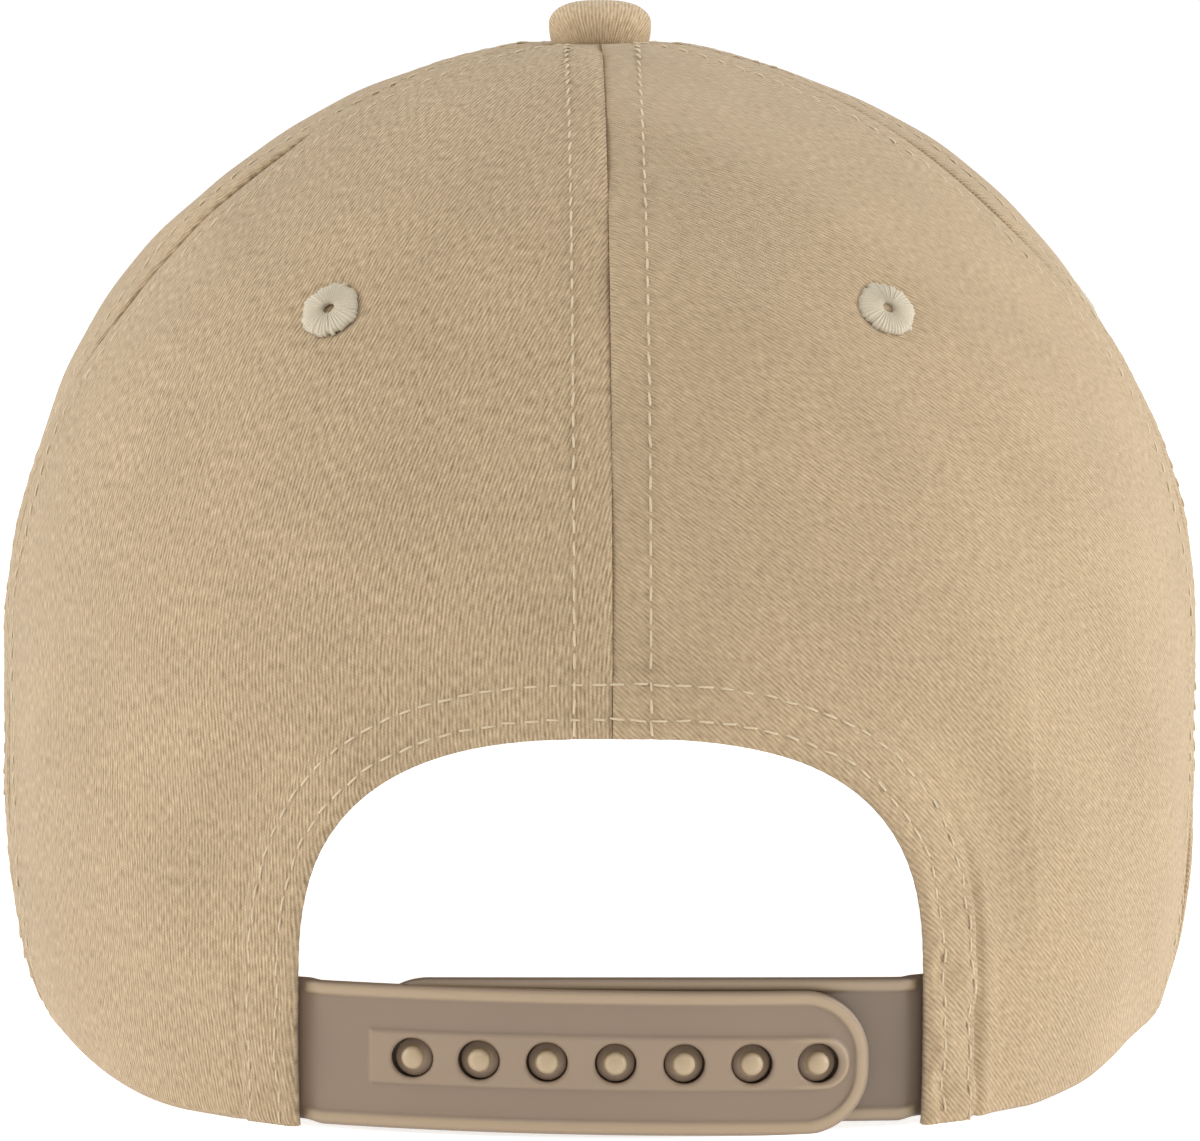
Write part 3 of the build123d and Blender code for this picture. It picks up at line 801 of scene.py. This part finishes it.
def eyeletPiece(name, label, side):
    turn, height = panels[name]["eyelet"]
    centre = crownAt(side * turn, height)
    normal = crownNormal(side * turn, riseAt(height))
    across = unit(np.cross(np.array([0, 0, 1.0]), normal))
    up = np.cross(normal, across)
    angle = np.linspace(0, 2 * math.pi, 264, endpoint=False)
    rng = np.random.default_rng(90 + int(turn) + side)
    place = angle / (2 * math.pi) * eyelet["strands"]
    which = np.floor(place).astype(int) % eyelet["strands"]
    strand = np.abs(np.sin(math.pi * place)) ** 0.7
    strandLift = rng.normal(0, 0.07, eyelet["strands"])[which]
    reach = rng.normal(0, 0.16, eyelet["strands"])[which]
    profile = np.linspace(0, 2 * math.pi, 20, endpoint=False)
    # a flattened ring section, fuller towards the hole, with a ridge for each strand
    half = (eyelet["radius"] - eyelet["hole"]) / 2
    radial = half * np.sign(np.cos(profile)) * np.abs(np.cos(profile)) ** 0.85
    radius = eyelet["hole"] + half + radial
    dish = 0.30 * (radius / eyelet["radius"]) ** 2
    lift = 0.62 * np.sign(np.sin(profile)) * np.abs(np.sin(profile)) ** 0.75 - dish
    outside = np.clip((radius - eyelet["hole"]) / (2 * half), 0, 1)
    radius = radius[None, :] + (reach[:, None] + 0.10 * strand[:, None]) * outside[None, :] ** 2
    ridge = (0.16 * strand + strandLift * 0.6)[:, None] * np.clip(np.sin(profile), 0, 1)[None, :] ** 0.5
    lift = lift[None, :] + ridge + 0.02
    squash = 1 + 0.04 * np.cos(2 * angle)[:, None] + 0.02 * np.cos(angle - 0.7)[:, None]
    wide, tall = radius * squash * np.cos(angle)[:, None], radius * np.sin(angle)[:, None]
    # the ring follows the dome's curve
    lift = lift - (wide ** 2 + tall ** 2) / (2 * crown["dome"])
    points = centre + across * wide[..., None] + up * tall[..., None] + normal * lift[..., None]
    # the profile closes on itself as well as the ring
    first = np.arange(len(angle)) * len(profile)
    last, ahead = first + len(profile) - 1, np.roll(first, -1)
    closing = np.stack([last, np.roll(last, -1), ahead, first], -1)
    rings = gridFaces(len(angle), len(profile), True)
    return makeMesh(label, points, outwards(points, np.concatenate([rings, closing])))


for name in panels:
    for word, side in (("left", -1), ("right", 1)):
        node = name + "_eyelet_" + word
        piece = eyeletPiece(name, name + "Eyelet" + word.capitalize(), side)
        dress(piece, "eyelet", replaces=[node])
print("eyelets made")


# linings: seam tapes, the binding of the rear opening, net behind the front, sweatband

tape = {"halfWidth": 6.0, "thickness": 0.7, "point": 0.4, "endRadius": 4.2, "row": 4.4}


def tapeHalf(radius):
    return tape["halfWidth"] * radius / np.hypot(radius, tape["halfWidth"] / tape["point"])


def pillow(share, soft=0.12):
    # 1 over the middle of a strip and 0 at its edges, with a rounded shoulder
    edge = np.clip(np.minimum(share, 1 - share) / soft, 0, 1)
    return np.sqrt(np.clip(1 - (1 - edge) ** 2, 0, 1))


tapeRows = []


def tapePiece(node, seamTurn, side, depth, low, seed):
    columns, rowCount = 15, 170
    rise = np.linspace(riseAt(low), math.acos(tape["endRadius"] / crown["halfWidth"]), rowCount)[None, :]
    height = heightAt(rise)
    radius = crown["halfWidth"] * spreadAt(90, height)
    across = np.linspace(-1, 1, columns)[:, None]
    half = tapeHalf(radius)
    turn = seamTurn(height) + np.degrees(across * half / radius)
    full = pillow((across + 1) / 2)
    wavy = ripple(across * half, crown["dome"] * rise, seed, (40, 24, 13), 0.07)
    place = crown["dome"] * rise
    dent = 0.14 * bell(np.abs(across) * half, half * tape["row"] / tape["halfWidth"], 0.6)
    dent = dent * (0.7 - 0.3 * np.cos(2 * math.pi * place / seam["pitch"]))
    outer = layerAt(side * turn, rise, depth + 0.3 * (1 - full) + wavy * 0.3)
    body = 0.37 + (tape["thickness"] - 0.32) * full - dent
    inner = layerAt(side * turn, rise, depth + body + np.abs(wavy))
    uv = np.stack(np.broadcast_arrays(across * half, place), -1)
    piece = shellPiece(node + "Cloth", outer, inner, uv)
    dress(piece, "tape", replaces=[node])
    for row in (-1, 1):
        step = np.arange(rise[0, 0] + 0.03, math.acos(13 / crown["halfWidth"]), seam["pitch"] / crown["dome"])
        height = heightAt(step)
        radius = crown["halfWidth"] * spreadAt(90, height)
        away = row * tapeHalf(radius) * tape["row"] / tape["halfWidth"]
        turn = seamTurn(height) + np.degrees(away / radius)
        point = layerAt(side * turn, step, depth + tape["thickness"] - 0.06)
        ahead = layerAt(side * turn, step + 0.01, depth + tape["thickness"] - 0.06)
        tapeRows.append((point, ahead - point, -crownNormal(side * turn, step)))


tapePiece("back_seam_tape", backMiddle, 1, 0.95, 68.0, 41)
tapePiece("centre_seam_tape", frontMiddle, 1, 1.75, 50.0, 43)
for word, side in (("left", -1), ("right", 1)):
    tapePiece("rear_seam_tape_" + word, rearSeam, side, 0.95, 20.0, 45 + side)
    tapePiece("front_seam_tape_" + word, frontSeam, side, 1.75, 40.0, 48 + side)
dress(stitches("tapeStitches", *zip(*tapeRows), length=2.2, seed=9), "thread")

band = {"width": 10.0, "start": 0.2, "depth": 0.92, "thickness": 0.7}


def bandAt(share, reach, depth):
    # along the rear opening's edge, pushed outwards in the rear view
    x, z = archPath(600, 0.4)
    run = np.linspace(0, 1, 600)
    size = np.hypot(np.gradient(x), np.gradient(z))
    outX, outZ = -np.gradient(z) / size, np.gradient(x) / size
    place = [np.interp(share, run, value) for value in (x, z, outX, outZ)]
    height = place[1] + place[3] * reach
    turn = rearTurn(place[0] + place[2] * reach, height, depth)
    return layerAt(turn, riseAt(height), depth), crownNormal(turn, riseAt(height))


across, along = np.linspace(0, 1, 13)[None, :], np.linspace(0, 1, 220)[:, None]
full = pillow(across) + 0 * along
reach = band["start"] + band["width"] * across
edgeLine = archPath(600, 0.4)
bandLength = float(np.hypot(np.diff(edgeLine[0]), np.diff(edgeLine[1])).sum())
lump = ripple(along * bandLength, across * band["width"], 51, (19, 11), 0.05)
outer, _ = bandAt(along, reach, band["depth"] + 0.25 * (1 - full))
inner, _ = bandAt(along, reach, band["depth"] + 0.3 + (band["thickness"] - 0.3) * full + np.abs(lump))
uv = np.stack(np.broadcast_arrays(reach, along * bandLength), -1)
piece = shellPiece("archBandCloth", outer, inner, uv)
dress(piece, "tape", replaces=["arch_band"])
rows = []
for reach in arch["rows"]:
    share = np.arange(0.01, 0.99, seam["pitch"] / bandLength)
    point, normal = bandAt(share, np.full(share.shape, reach), band["depth"] + band["thickness"] - 0.05)
    rows.append((point, np.gradient(point, axis=0), -normal))
dress(stitches("archBandStitches", *zip(*rows), length=2.2, seed=10), "thread")

for word, side in (("left", -1), ("right", 1)):
    turn, rise = seamGrid("front")
    turn, rise = turn[::2], rise[:, ::2][::2]
    low, top = rise[:, :1] + 1.0 / crown["dome"], math.acos(9.0 / crown["halfWidth"])
    share = (rise - rise[:, :1]) / (rise[:, -1:] - rise[:, :1])
    rise = low + (top - low) * share
    height = heightAt(rise)
    inset = np.degrees(0.5 / (crown["halfWidth"] * spreadAt(90, height)))
    part = np.linspace(0, 1, len(turn))[:, None]
    turn = (frontSeam(height) + inset) * (1 - part) + (180 - inset) * part
    outer, inner = layerAt(side * turn, rise, 0.95), layerAt(side * turn, rise, 1.6)
    uv = unrolled("front", turn, rise)
    piece = shellPiece("frontBuckram" + word.capitalize() + "Net", outer, inner, uv)
    dress(piece, "net", replaces=["front_buckram_" + word])

sweat = {"start": 34.0, "height": 32.0, "depth": 3.5, "thickness": 1.5, "row": 3.0, "radius": 92.0}


def sweatAt(turn, share, depth):
    temple = visor["templeTurn"]
    foot = rimHeight(turn) + 0.8 - 4.2 * ease(awayFromRear(turn), temple - 12, temple + 6)
    rise = riseAt(foot + sweat["height"] * share)
    return layerAt(turn, rise, depth), crownNormal(turn, rise)


turn = np.linspace(sweat["start"], 360 - sweat["start"], 460)[:, None]
share = np.linspace(0, 1, 34)[None, :]
run = np.radians(turn) * sweat["radius"]
place = share * sweat["height"]
full = pillow(share, 0.03)
quilt = ripple(run, place, 71, (47, 26, 15), 0.13)
pulled = 0.7 - 0.3 * np.cos(2 * math.pi * run / seam["pitch"])
row = bell(place, sweat["height"] - sweat["row"], 0.7) * pulled
outer, _ = sweatAt(turn, share, sweat["depth"] + 0.5 * (1 - full) + 0.0 * run)
body = sweat["thickness"] * (0.4 + 0.6 * full) + np.abs(quilt) * 0.8 - 0.3 * row
inner, _ = sweatAt(turn, share, sweat["depth"] + body)
uv = np.stack(np.broadcast_arrays(run, place), -1)
piece = shellPiece("sweatbandCloth", outer, inner, uv)
dress(piece, "twillBand", replaces=["sweatband"])
step = np.arange(sweat["start"] + 1, 359 - sweat["start"], math.degrees(seam["pitch"] / sweat["radius"]))
point, normal = sweatAt(step, 1 - sweat["row"] / sweat["height"], sweat["depth"] + sweat["thickness"] - 0.12)
piece = stitches("sweatbandStitches", [point], [np.gradient(point, axis=0)], [-normal], seed=12)
dress(piece, "thread")
print("linings made")


# the visor's two covers, with their stitched rows

rowInsets = [visor["rowFirst"] + number * visor["rowStep"] for number in range(visor["rows"])]
outerLip, innerLip = 0.14, 0.04  # how far from the middle each cover's two faces end


def coverOffset(distance):
    # full thickness inside, rounded over to the middle within a few millimetres of the edge
    roundOff = np.clip(1 - distance / visor["edgeRound"], 0, 1)
    outer = outerLip + (visor["halfThickness"] - outerLip) * np.sqrt(np.clip(1 - roundOff ** 2, 0, 1))
    for inset in rowInsets:
        outer = outer - 0.20 * bell(distance, inset, 0.65)
    inner = np.maximum(outer - cloth["thickness"], innerLip)
    return outer, np.where(distance > visor["edgeRound"] + 1, visor["halfBoard"] + 0.06, inner)


def coverWidth(swing):
    inside, outside = visorAt(swing, 0.0, 0.0), visorAt(swing, 1.0, 0.0)
    return np.hypot(*(outside - inside)[..., :2].T).T


# the covers run a little past the board and close round its ends
reach, spare = visor["reach"], visor["spare"]
swing = np.concatenate([np.linspace(-reach - spare, -reach, 10)[:-1], np.linspace(-reach, reach, 286),
                        np.linspace(reach, reach + spare, 10)[1:]])[:, None]
closing = np.sqrt(np.clip(1 - (np.clip(np.abs(swing) - reach, 0, None) / spare) ** 2, 0, 1))
inwards = np.linspace(1, 0, 120)[None, :] ** 1.35
share = 1 - inwards
distance = coverWidth(swing[:, 0])[:, None] * inwards
edgeX, edgeY = visorEdge(swing)
covers = ((1, "visor_top_cover", "visorTop", 81), (-1, "visor_under_cover", "visorUnder", 84))
for sign, node, label, seed in covers:
    outer, inner = coverOffset(distance)
    calm = 0.11 * ripple(edgeX * share, edgeY * share, seed, (46, 29, 17), 1.0)
    calm = calm * ease(distance, 1.5, 6) * ease(share, 0.02, 0.12)
    hi = visorAt(swing, share, sign * (outerLip + (outer - outerLip + calm) * closing))
    lo = visorAt(swing, share, sign * (innerLip + (inner - innerLip) * closing))
    # laid flat: forwards along y, with the sideways bend straightened
    uv = np.stack([visor["radius"] * np.arcsin(hi[..., 0] / visor["radius"]), hi[..., 1]], -1)
    piece = shellPiece(label + "Cloth", hi, lo, uv)
    dress(piece, "twillVisor", replaces=[node])
    rows = []
    for inset in rowInsets:
        fine = np.linspace(-reach, reach, 1500)
        part = 1 - inset / np.maximum(coverWidth(fine), 1)
        fine, part = fine[part > 0.06], part[part > 0.06]
        height = coverOffset(np.full(fine.shape, inset))[0]
        line = visorAt(fine, part, sign * (height + 0.11))
        run = np.concatenate([[0], np.cumsum(np.linalg.norm(np.diff(line, axis=0), axis=1))])
        at = np.arange(1.0, run[-1] - 1.0, 3.3)
        point = np.stack([np.interp(at, run, line[:, i]) for i in range(3)], -1)
        slope = np.stack([point[:, 0] / np.sqrt(visor["radius"] ** 2 - point[:, 0] ** 2),
                          np.full(len(point), visor["droop"]), np.ones(len(point))], -1)
        rows.append((point, np.gradient(point, axis=0), unit(slope) * sign))
    dress(stitches(label + "Stitches", *zip(*rows), length=2.5, seed=seed), "thread")
print("visor made")


# the two straps, their rims, platform, holes and pegs

strap = {
    "radius": 106.0,
    "step": 1.6,
    "lean": 0.14,
    "thickness": 1.3,
    "low": 0.6,
    "pegRaise": 0.1,         # the strap with pegs sits this much higher
    "width": 20.8,
    "tips": {"hole": 36.2, "peg": -35.0},
    "hinge": 41.9,
    "depth": 1.95,           # of the sewn end, below the outside of the cloth
    "wallEdge": 42.7,        # beyond this the strap lies along the wall
    "tabEnd": 57.5,
    "corner": 9.4,
    "relief": 0.5,
    "rim": 1.8,
    "rootEdge": 43.0,        # the rim starts here
    "deckHalf": 3.75,        # the raised platform round the holes
    "deckEnds": (-33.9, 33.4),
    "bow": 0.5,
    "pegBow": 1.3,
    "tilt": 0.015,
    "soft": 0.35,            # how wide each moulded step is
    "holeRadius": 2.9,
    "pegRadius": 1.65,
    "pegHeight": 2.6,
    "pitch": 9.6,
    "snaps": 7,
    "snapMiddle": 0.5,
}
strap["middle"] = strap["low"] + strap["width"] / 2
pegRingRadius = strap["radius"] - strap["step"]
strapAxisX = (strap["radius"] ** 2 - pegRingRadius ** 2) / (4 * strap["hinge"])
wallTurn = rearTurn(strap["hinge"], strap["middle"], strap["depth"])
wallPoint = layerAt(wallTurn, riseAt(strap["middle"]), strap["depth"])
strapAxisY = wallPoint[1] + math.sqrt(strap["radius"] ** 2 - (strap["hinge"] + strapAxisX) ** 2)


def ringAt(x, z, radius):
    # a leaning ring, cut at this x in the rear view
    reach = radius + strap["lean"] * (z - strap["middle"])
    y = strapAxisY - np.sqrt(reach ** 2 - (x - strapAxisX) ** 2)
    return np.stack(np.broadcast_arrays(x, y, z), -1)


def snapPlaces():
    middle = math.asin((strap["snapMiddle"] - strapAxisX) / strap["radius"])
    return middle + (np.arange(strap["snaps"]) - (strap["snaps"] - 1) / 2) * strap["pitch"] / strap["radius"]


snapX = strapAxisX + strap["radius"] * np.sin(snapPlaces())


def barDistance(x, z, start, tip, low, high, corner):
    # how far inside a bar with a square start and a round tip; negative outside
    sign = 1 if tip > start else -1
    along, half = (x - start) * sign, (high - low) / 2
    length = abs(tip - start)
    overX = along - (length - corner)
    overZ = np.abs(z - (low + high) / 2) - (half - corner)
    nearer = np.minimum(np.maximum(overX, overZ), 0)
    inside = corner - np.hypot(np.maximum(overX, 0), np.maximum(overZ, 0)) - nearer
    return inside, along


def moulded(distance):
    return ease(distance, -strap["soft"] / 2, strap["soft"] / 2)


def strapSurface(kind, x, z):
    # height above the outer face: a beaded rim, a platform and a ring round the last hole; also a painted
    # highlight, paler on the rim and the platform
    holes = kind == "hole"
    sign = -1 if holes else 1
    start, tip = sign * (strap["hinge"] - 0.8), strap["tips"][kind]
    low = strap["low"] + (0 if holes else strap["pegRaise"])
    edge, _ = barDistance(x, z, start, tip, low, low + strap["width"], strap["corner"])
    plain = strap["rootEdge"] - x * sign
    bead = np.sqrt(np.clip(1 - ((edge - 0.95) / 0.95) ** 2, 0, 1))
    relief = strap["relief"] * (0.25 * (1 - moulded(edge - strap["rim"])) + 0.85 * bead) * moulded(plain)
    # painted highlight on the beaded rim
    paintedHighlight = (1 - moulded(edge - strap["rim"])) * moulded(plain) * ease(edge, 0.05, 0.7)
    if holes:
        half = strap["deckHalf"]
        low, high = strap["middle"] - half, strap["middle"] + half
        deck, along = barDistance(x, z, *strap["deckEnds"], low, high, half - 0.05)
        deck = np.minimum(deck, along)
        away = np.hypot(np.abs(x[..., None] - snapX).min(-1), z - strap["middle"])
        relief = np.maximum(relief, strap["relief"] * moulded(deck))
        border = bell(deck, 0.35, 0.35) * ease(x, 24, 28)
        relief = relief + 0.16 * border
        relief = relief - 0.25 * np.clip(1 - (away - strap["holeRadius"]) / 0.4, 0, 1) ** 2
        plate = (0.34 + 0.5 * border) * moulded(deck)
        # painted shade round each hole: the platform's painted highlight stops just short of the hole's edge
        paintedHighlight = np.maximum(paintedHighlight, plate * ease(away, strap["holeRadius"] - 0.1, strap["holeRadius"] + 0.5))
    return relief, paintedHighlight


def strapDrop(x):
    # the strap with holes hangs a little out of level, and is cut very slightly arched
    arched = strap["bow"] * np.clip(1 - (x / strap["hinge"]) ** 2, 0, None)
    return arched - strap["tilt"] * np.clip(x + strap["hinge"], 0, None)


def strapPiece(kind, node, label):
    holes = kind == "hole"
    sign = -1 if holes else 1
    start = sign * strap["hinge"]
    straight = abs(strap["tips"][kind] - start) - strap["corner"]
    shift = 0 if holes else strap["pegRaise"]
    radius = strap["radius"] if holes else pegRingRadius
    # columns: the sewn end, then the bar, then the round tip with finer steps towards its end
    bar = np.arange(0, straight, 0.3)
    tipAngle = np.linspace(0, math.pi / 2, 44)[1:]
    curve = straight + strap["corner"] * np.sin(tipAngle)
    sewn = np.arange(-(strap["tabEnd"] - strap["hinge"]), 0, 0.5)
    along = np.concatenate([sewn, bar, curve])
    x = (start - sign * along)[:, None]
    half = np.full(len(along), strap["width"] / 2)
    half[len(sewn) + len(bar):] = strap["width"] / 2 - strap["corner"] + strap["corner"] * np.cos(tipAngle)
    share = np.linspace(-1, 1, 81)[None, :]
    z = strap["middle"] + shift + half[:, None] * share
    x = x + 0 * z
    relief, paintedHighlight = strapSurface(kind, x, z)
    outer = ringAt(np.clip(x, -60, 60), z, radius + relief)
    inner = ringAt(np.clip(x, -60, 60), z, radius - strap["thickness"])
    # the sewn end follows the inside of the rear wall instead
    turn = rearTurn(np.clip(np.abs(x), 0, strap["wallEdge"]), z, strap["depth"])
    turn = sign * (turn + np.degrees(np.clip(np.abs(x) - strap["wallEdge"], 0, None) / crown["halfWidth"]))
    toWall = ease(sign * x, strap["wallEdge"] - 2.3, strap["wallEdge"] + 0.2)[..., None]
    outer = outer + (layerAt(turn, riseAt(z), strap["depth"] - relief) - outer) * toWall
    inner = inner + (layerAt(turn, riseAt(z), strap["depth"] + strap["thickness"] - 0.2) - inner) * toWall
    faces = gridFaces(*outer.shape[:2])
    if holes:
        flatX, flatZ = x.ravel(), z.ravel()
        for hole in snapX:
            middle = np.hypot(flatX[faces].mean(1) - hole, flatZ[faces].mean(1) - strap["middle"])
            gone = middle < strap["holeRadius"]
            edge = np.intersect1d(faces[gone], faces[~gone])
            dx, dz = flatX[edge] - hole, flatZ[edge] - strap["middle"]
            scale = strap["holeRadius"] / np.hypot(dx, dz)
            flatX[edge], flatZ[edge] = hole + dx * scale, strap["middle"] + dz * scale
            faces = faces[~gone]
            moved, shade = strapSurface(kind, flatX[edge], flatZ[edge])
            outer.reshape(-1, 3)[edge] = ringAt(flatX[edge], flatZ[edge], radius + moved)
            inner.reshape(-1, 3)[edge] = ringAt(flatX[edge], flatZ[edge], radius - strap["thickness"])
            paintedHighlight.reshape(-1)[edge] = shade
    drop = strapDrop(x) if holes else strap["pegBow"] * np.clip(1 - (x / strap["hinge"]) ** 2, 0, None)
    outer[..., 2] += drop
    inner[..., 2] += drop
    piece = shellPiece(label, outer, inner, np.stack([x, z], -1), faces, paintedHighlight)
    dress(piece, "strap" if holes else "pegStrapInShade", body=None, replaces=[node, node + "_tab"])
    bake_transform(piece)


strapPiece("hole", "hole_strap", "holeStrapMoulding")
strapPiece("peg", "peg_strap", "pegStrapMoulding")

points, faces, shade = [], [], []
for index, angle in enumerate(snapPlaces()):
    outward = np.array([math.sin(angle), -math.cos(angle), 0])
    across = np.array([math.cos(angle), math.sin(angle), 0])
    foot = np.array([strapAxisX, strapAxisY, strap["middle"]]) + outward * (pegRingRadius - 0.3)
    foot[2] += strapDrop(snapX[index])
    # a flared foot, a straight neck and a domed head
    part = np.linspace(0, math.pi / 2, 9)
    height = np.concatenate([[0, 0.95, 1.1, 1.1, 1.25], strap["pegHeight"] - 0.9 + 1.2 * np.sin(part)])
    radius = np.concatenate([[2.72, 2.7, 2.6, 1.95, 1.72], (strap["pegRadius"] - 0.02) * np.cos(part) ** 0.8])
    radius[-1] = 0.02
    # painted highlight on the domed heads; the foot and neck keep the plain darker colour, as painted shade
    # in the gap round each peg
    shade.append(np.tile(np.where(np.arange(len(height)) < 4, 0.0, 1.42), 40))
    turn = np.linspace(0, 2 * math.pi, 40, endpoint=False)
    ring = (foot + outward * height[None, :, None]
            + across * (radius[None, :] * np.cos(turn)[:, None])[..., None]
            + np.array([0, 0, 1.0]) * (radius[None, :] * np.sin(turn)[:, None])[..., None])
    faces.append(outwards(ring - foot, gridFaces(40, len(height), True)) + index * 40 * len(height))
    points.append(ring.reshape(-1, 3))
piece = makeMesh("pegHeads", np.concatenate(points), np.concatenate(faces), paintedHighlight=np.concatenate(shade))
dress(piece, "strap", body="peg_strap")
print("straps made")


# the covered button

button = {"radius": 7.7, "height": 6.0, "base": 6.7, "middle": 2.5, "sunk": 0.9, "foot": 0.98}
domeTop = crown["shoulder"] + crown["dome"]
angle = np.linspace(0, 2 * math.pi, 220, endpoint=False)[:, None]
arc = np.linspace(-button["foot"], math.pi / 2, 46)[None, :]
# an oblate round, widest at mid height, gathered in small folds at its foot
fold = ripple(angle * 9, 0 * angle, 95, (5.1, 3.3, 2.4), 0.09)
down, up = np.clip(-arc, 0, None), np.clip(arc, 0, None)
under = down / button["foot"] * math.pi / 2
middle = button["middle"]
lowRadius = button["base"] + (button["radius"] - button["base"]) * np.cos(under) ** 0.8
radius = np.where(arc < 0, lowRadius, button["radius"] * np.cos(up) ** 0.74)
radius = radius + fold * np.clip(down / 0.9, 0, 1) ** 1.5
height = np.where(arc < 0, middle - (middle + button["sunk"]) * np.sin(under),
                  middle + (button["height"] - middle) * np.sin(up))
radius[:, -1] = 0.03


def buttonSkin(inset):
    reach = np.maximum(radius - inset, 0.02)
    z = domeTop + height - inset * np.sin(np.clip(arc, 0, None)) + 0 * angle
    return np.stack([reach * np.sin(angle), -reach * np.cos(angle), z], -1)


outer, inner = buttonSkin(0.0), buttonSkin(0.6)
size = outer.size // 3
faces = gridFaces(*outer.shape[:2], True)
faces = np.concatenate([faces, faces[:, ::-1] + size, edgeWalls(faces, size)])
points = np.concatenate([outer.reshape(-1, 3), inner.reshape(-1, 3)])
run = np.hypot(np.diff(radius.mean(0)), np.diff(height[0]))
reach = np.concatenate([np.cumsum(run[::-1])[::-1], [0]])[None, :]
uv = np.stack([reach * np.sin(angle), reach * np.cos(angle)], -1)
uv = np.concatenate([uv.reshape(-1, 2)] * 2)
piece = makeMesh("buttonCloth", points, outwards(points, faces), uv)
dress(piece, "button", replaces=["button_cover"])
print("button made")

for node, look in (("visor_board", "board"), ("button_shell", "steel"), ("button_stud", "steel"),
                   ("button_backing", "steel")):
    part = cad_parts[node]
    part.data.materials.clear()
    part.data.materials.append(looks[look])


# floor, light and camera

floorMesh = bpy.data.meshes.new("floor")
floorMesh.from_pydata([(-4, -4, 0), (4, -4, 0), (4, 4, 0), (-4, 4, 0)], [], [(0, 1, 2, 3)])
floor = bpy.data.objects.new("floor", floorMesh)
scene.collection.objects.link(floor)
pale = bpy.data.materials.new("paleFloor")
pale.use_nodes = True
tree = pale.node_tree
surface = tree.nodes["Principled BSDF"].inputs
surface["Base Color"].default_value = (0.86, 0.86, 0.86, 1)
surface["Roughness"].default_value = 0.9
surface["Emission Color"].default_value = (1, 1, 1, 1)
# painted light: the floor glows more near the cap, filling the cap's own shadow, so that the floor stays pale
# beneath it
apart = tree.nodes.new("ShaderNodeVectorMath")
apart.operation = "LENGTH"
plug(tree, tree.nodes.new("ShaderNodeTexCoord").outputs["Object"], apart.inputs[0])
near = calc(tree, "MAXIMUM", calc(tree, "MULTIPLY_ADD", apart.outputs["Value"], -7.0, 1.5), 0.0)
capShadowGlow = calc(tree, "SMOOTH_MIN", near, 1.0, 0.3)
plug(tree, calc(tree, "MULTIPLY_ADD", capShadowGlow, 0.5, 0.42), surface["Emission Strength"])
floor.data.materials.append(pale)

# the surround is brightest behind the cap and overhead, and dimmest in front and below
surround = {"base": 0.70, "behind": 0.36, "above": 0.05}
world = bpy.data.worlds.new("white")
world.use_nodes = True
tree = world.node_tree
part = tree.nodes.new("ShaderNodeSeparateXYZ")
plug(tree, tree.nodes.new("ShaderNodeTexCoord").outputs["Generated"], part.inputs[0])
glow = calc(tree, "MULTIPLY_ADD", part.outputs[2], surround["above"], surround["base"])
glow = calc(tree, "MULTIPLY_ADD", part.outputs[1], surround["behind"], glow)
plug(tree, glow, tree.nodes["Background"].inputs["Strength"])
plug(tree, (1, 1, 1, 1), tree.nodes["Background"].inputs["Color"])
scene.world = world


aim = Vector((0.0, axisY, 0.0716))


def softLight(name, place, size, power):
    data = bpy.data.lights.new(name, "AREA")
    data.shape = "RECTANGLE"
    data.size, data.size_y = size
    data.energy = power
    lamp = bpy.data.objects.new(name, data)
    lamp.location = place
    lamp.rotation_euler = (aim - Vector(place)).to_track_quat("-Z", "Y").to_euler()
    scene.collection.objects.link(lamp)


softLight("leftBox", (-1.1, -0.25, 0.6), (0.7, 0.9), 9.0)
softLight("rightBox", (1.1, -0.2, 0.35), (0.7, 0.9), 12.0)
softLight("frontBox", (-0.1, -0.95, 1.0), (0.8, 0.6), 4.0)

scene.view_settings.view_transform = "Standard"
scene.view_settings.look = "None"

lens = {"distance": 1.0, "azimuth": math.radians(-1.1), "rise": math.radians(5.5), "focal": 197.4}
camera = bpy.data.cameras.new("camera")
camera.sensor_width = 36
camera.lens = lens["focal"]
eye = bpy.data.objects.new("camera", camera)
back = Vector((math.sin(lens["azimuth"]) * math.cos(lens["rise"]),
               -math.cos(lens["azimuth"]) * math.cos(lens["rise"]), math.sin(lens["rise"])))
eye.location = aim + back * lens["distance"]
eye.rotation_euler = (-back).to_track_quat("-Z", "Y").to_euler()
scene.collection.objects.link(eye)
scene.camera = eye
print("stage set")
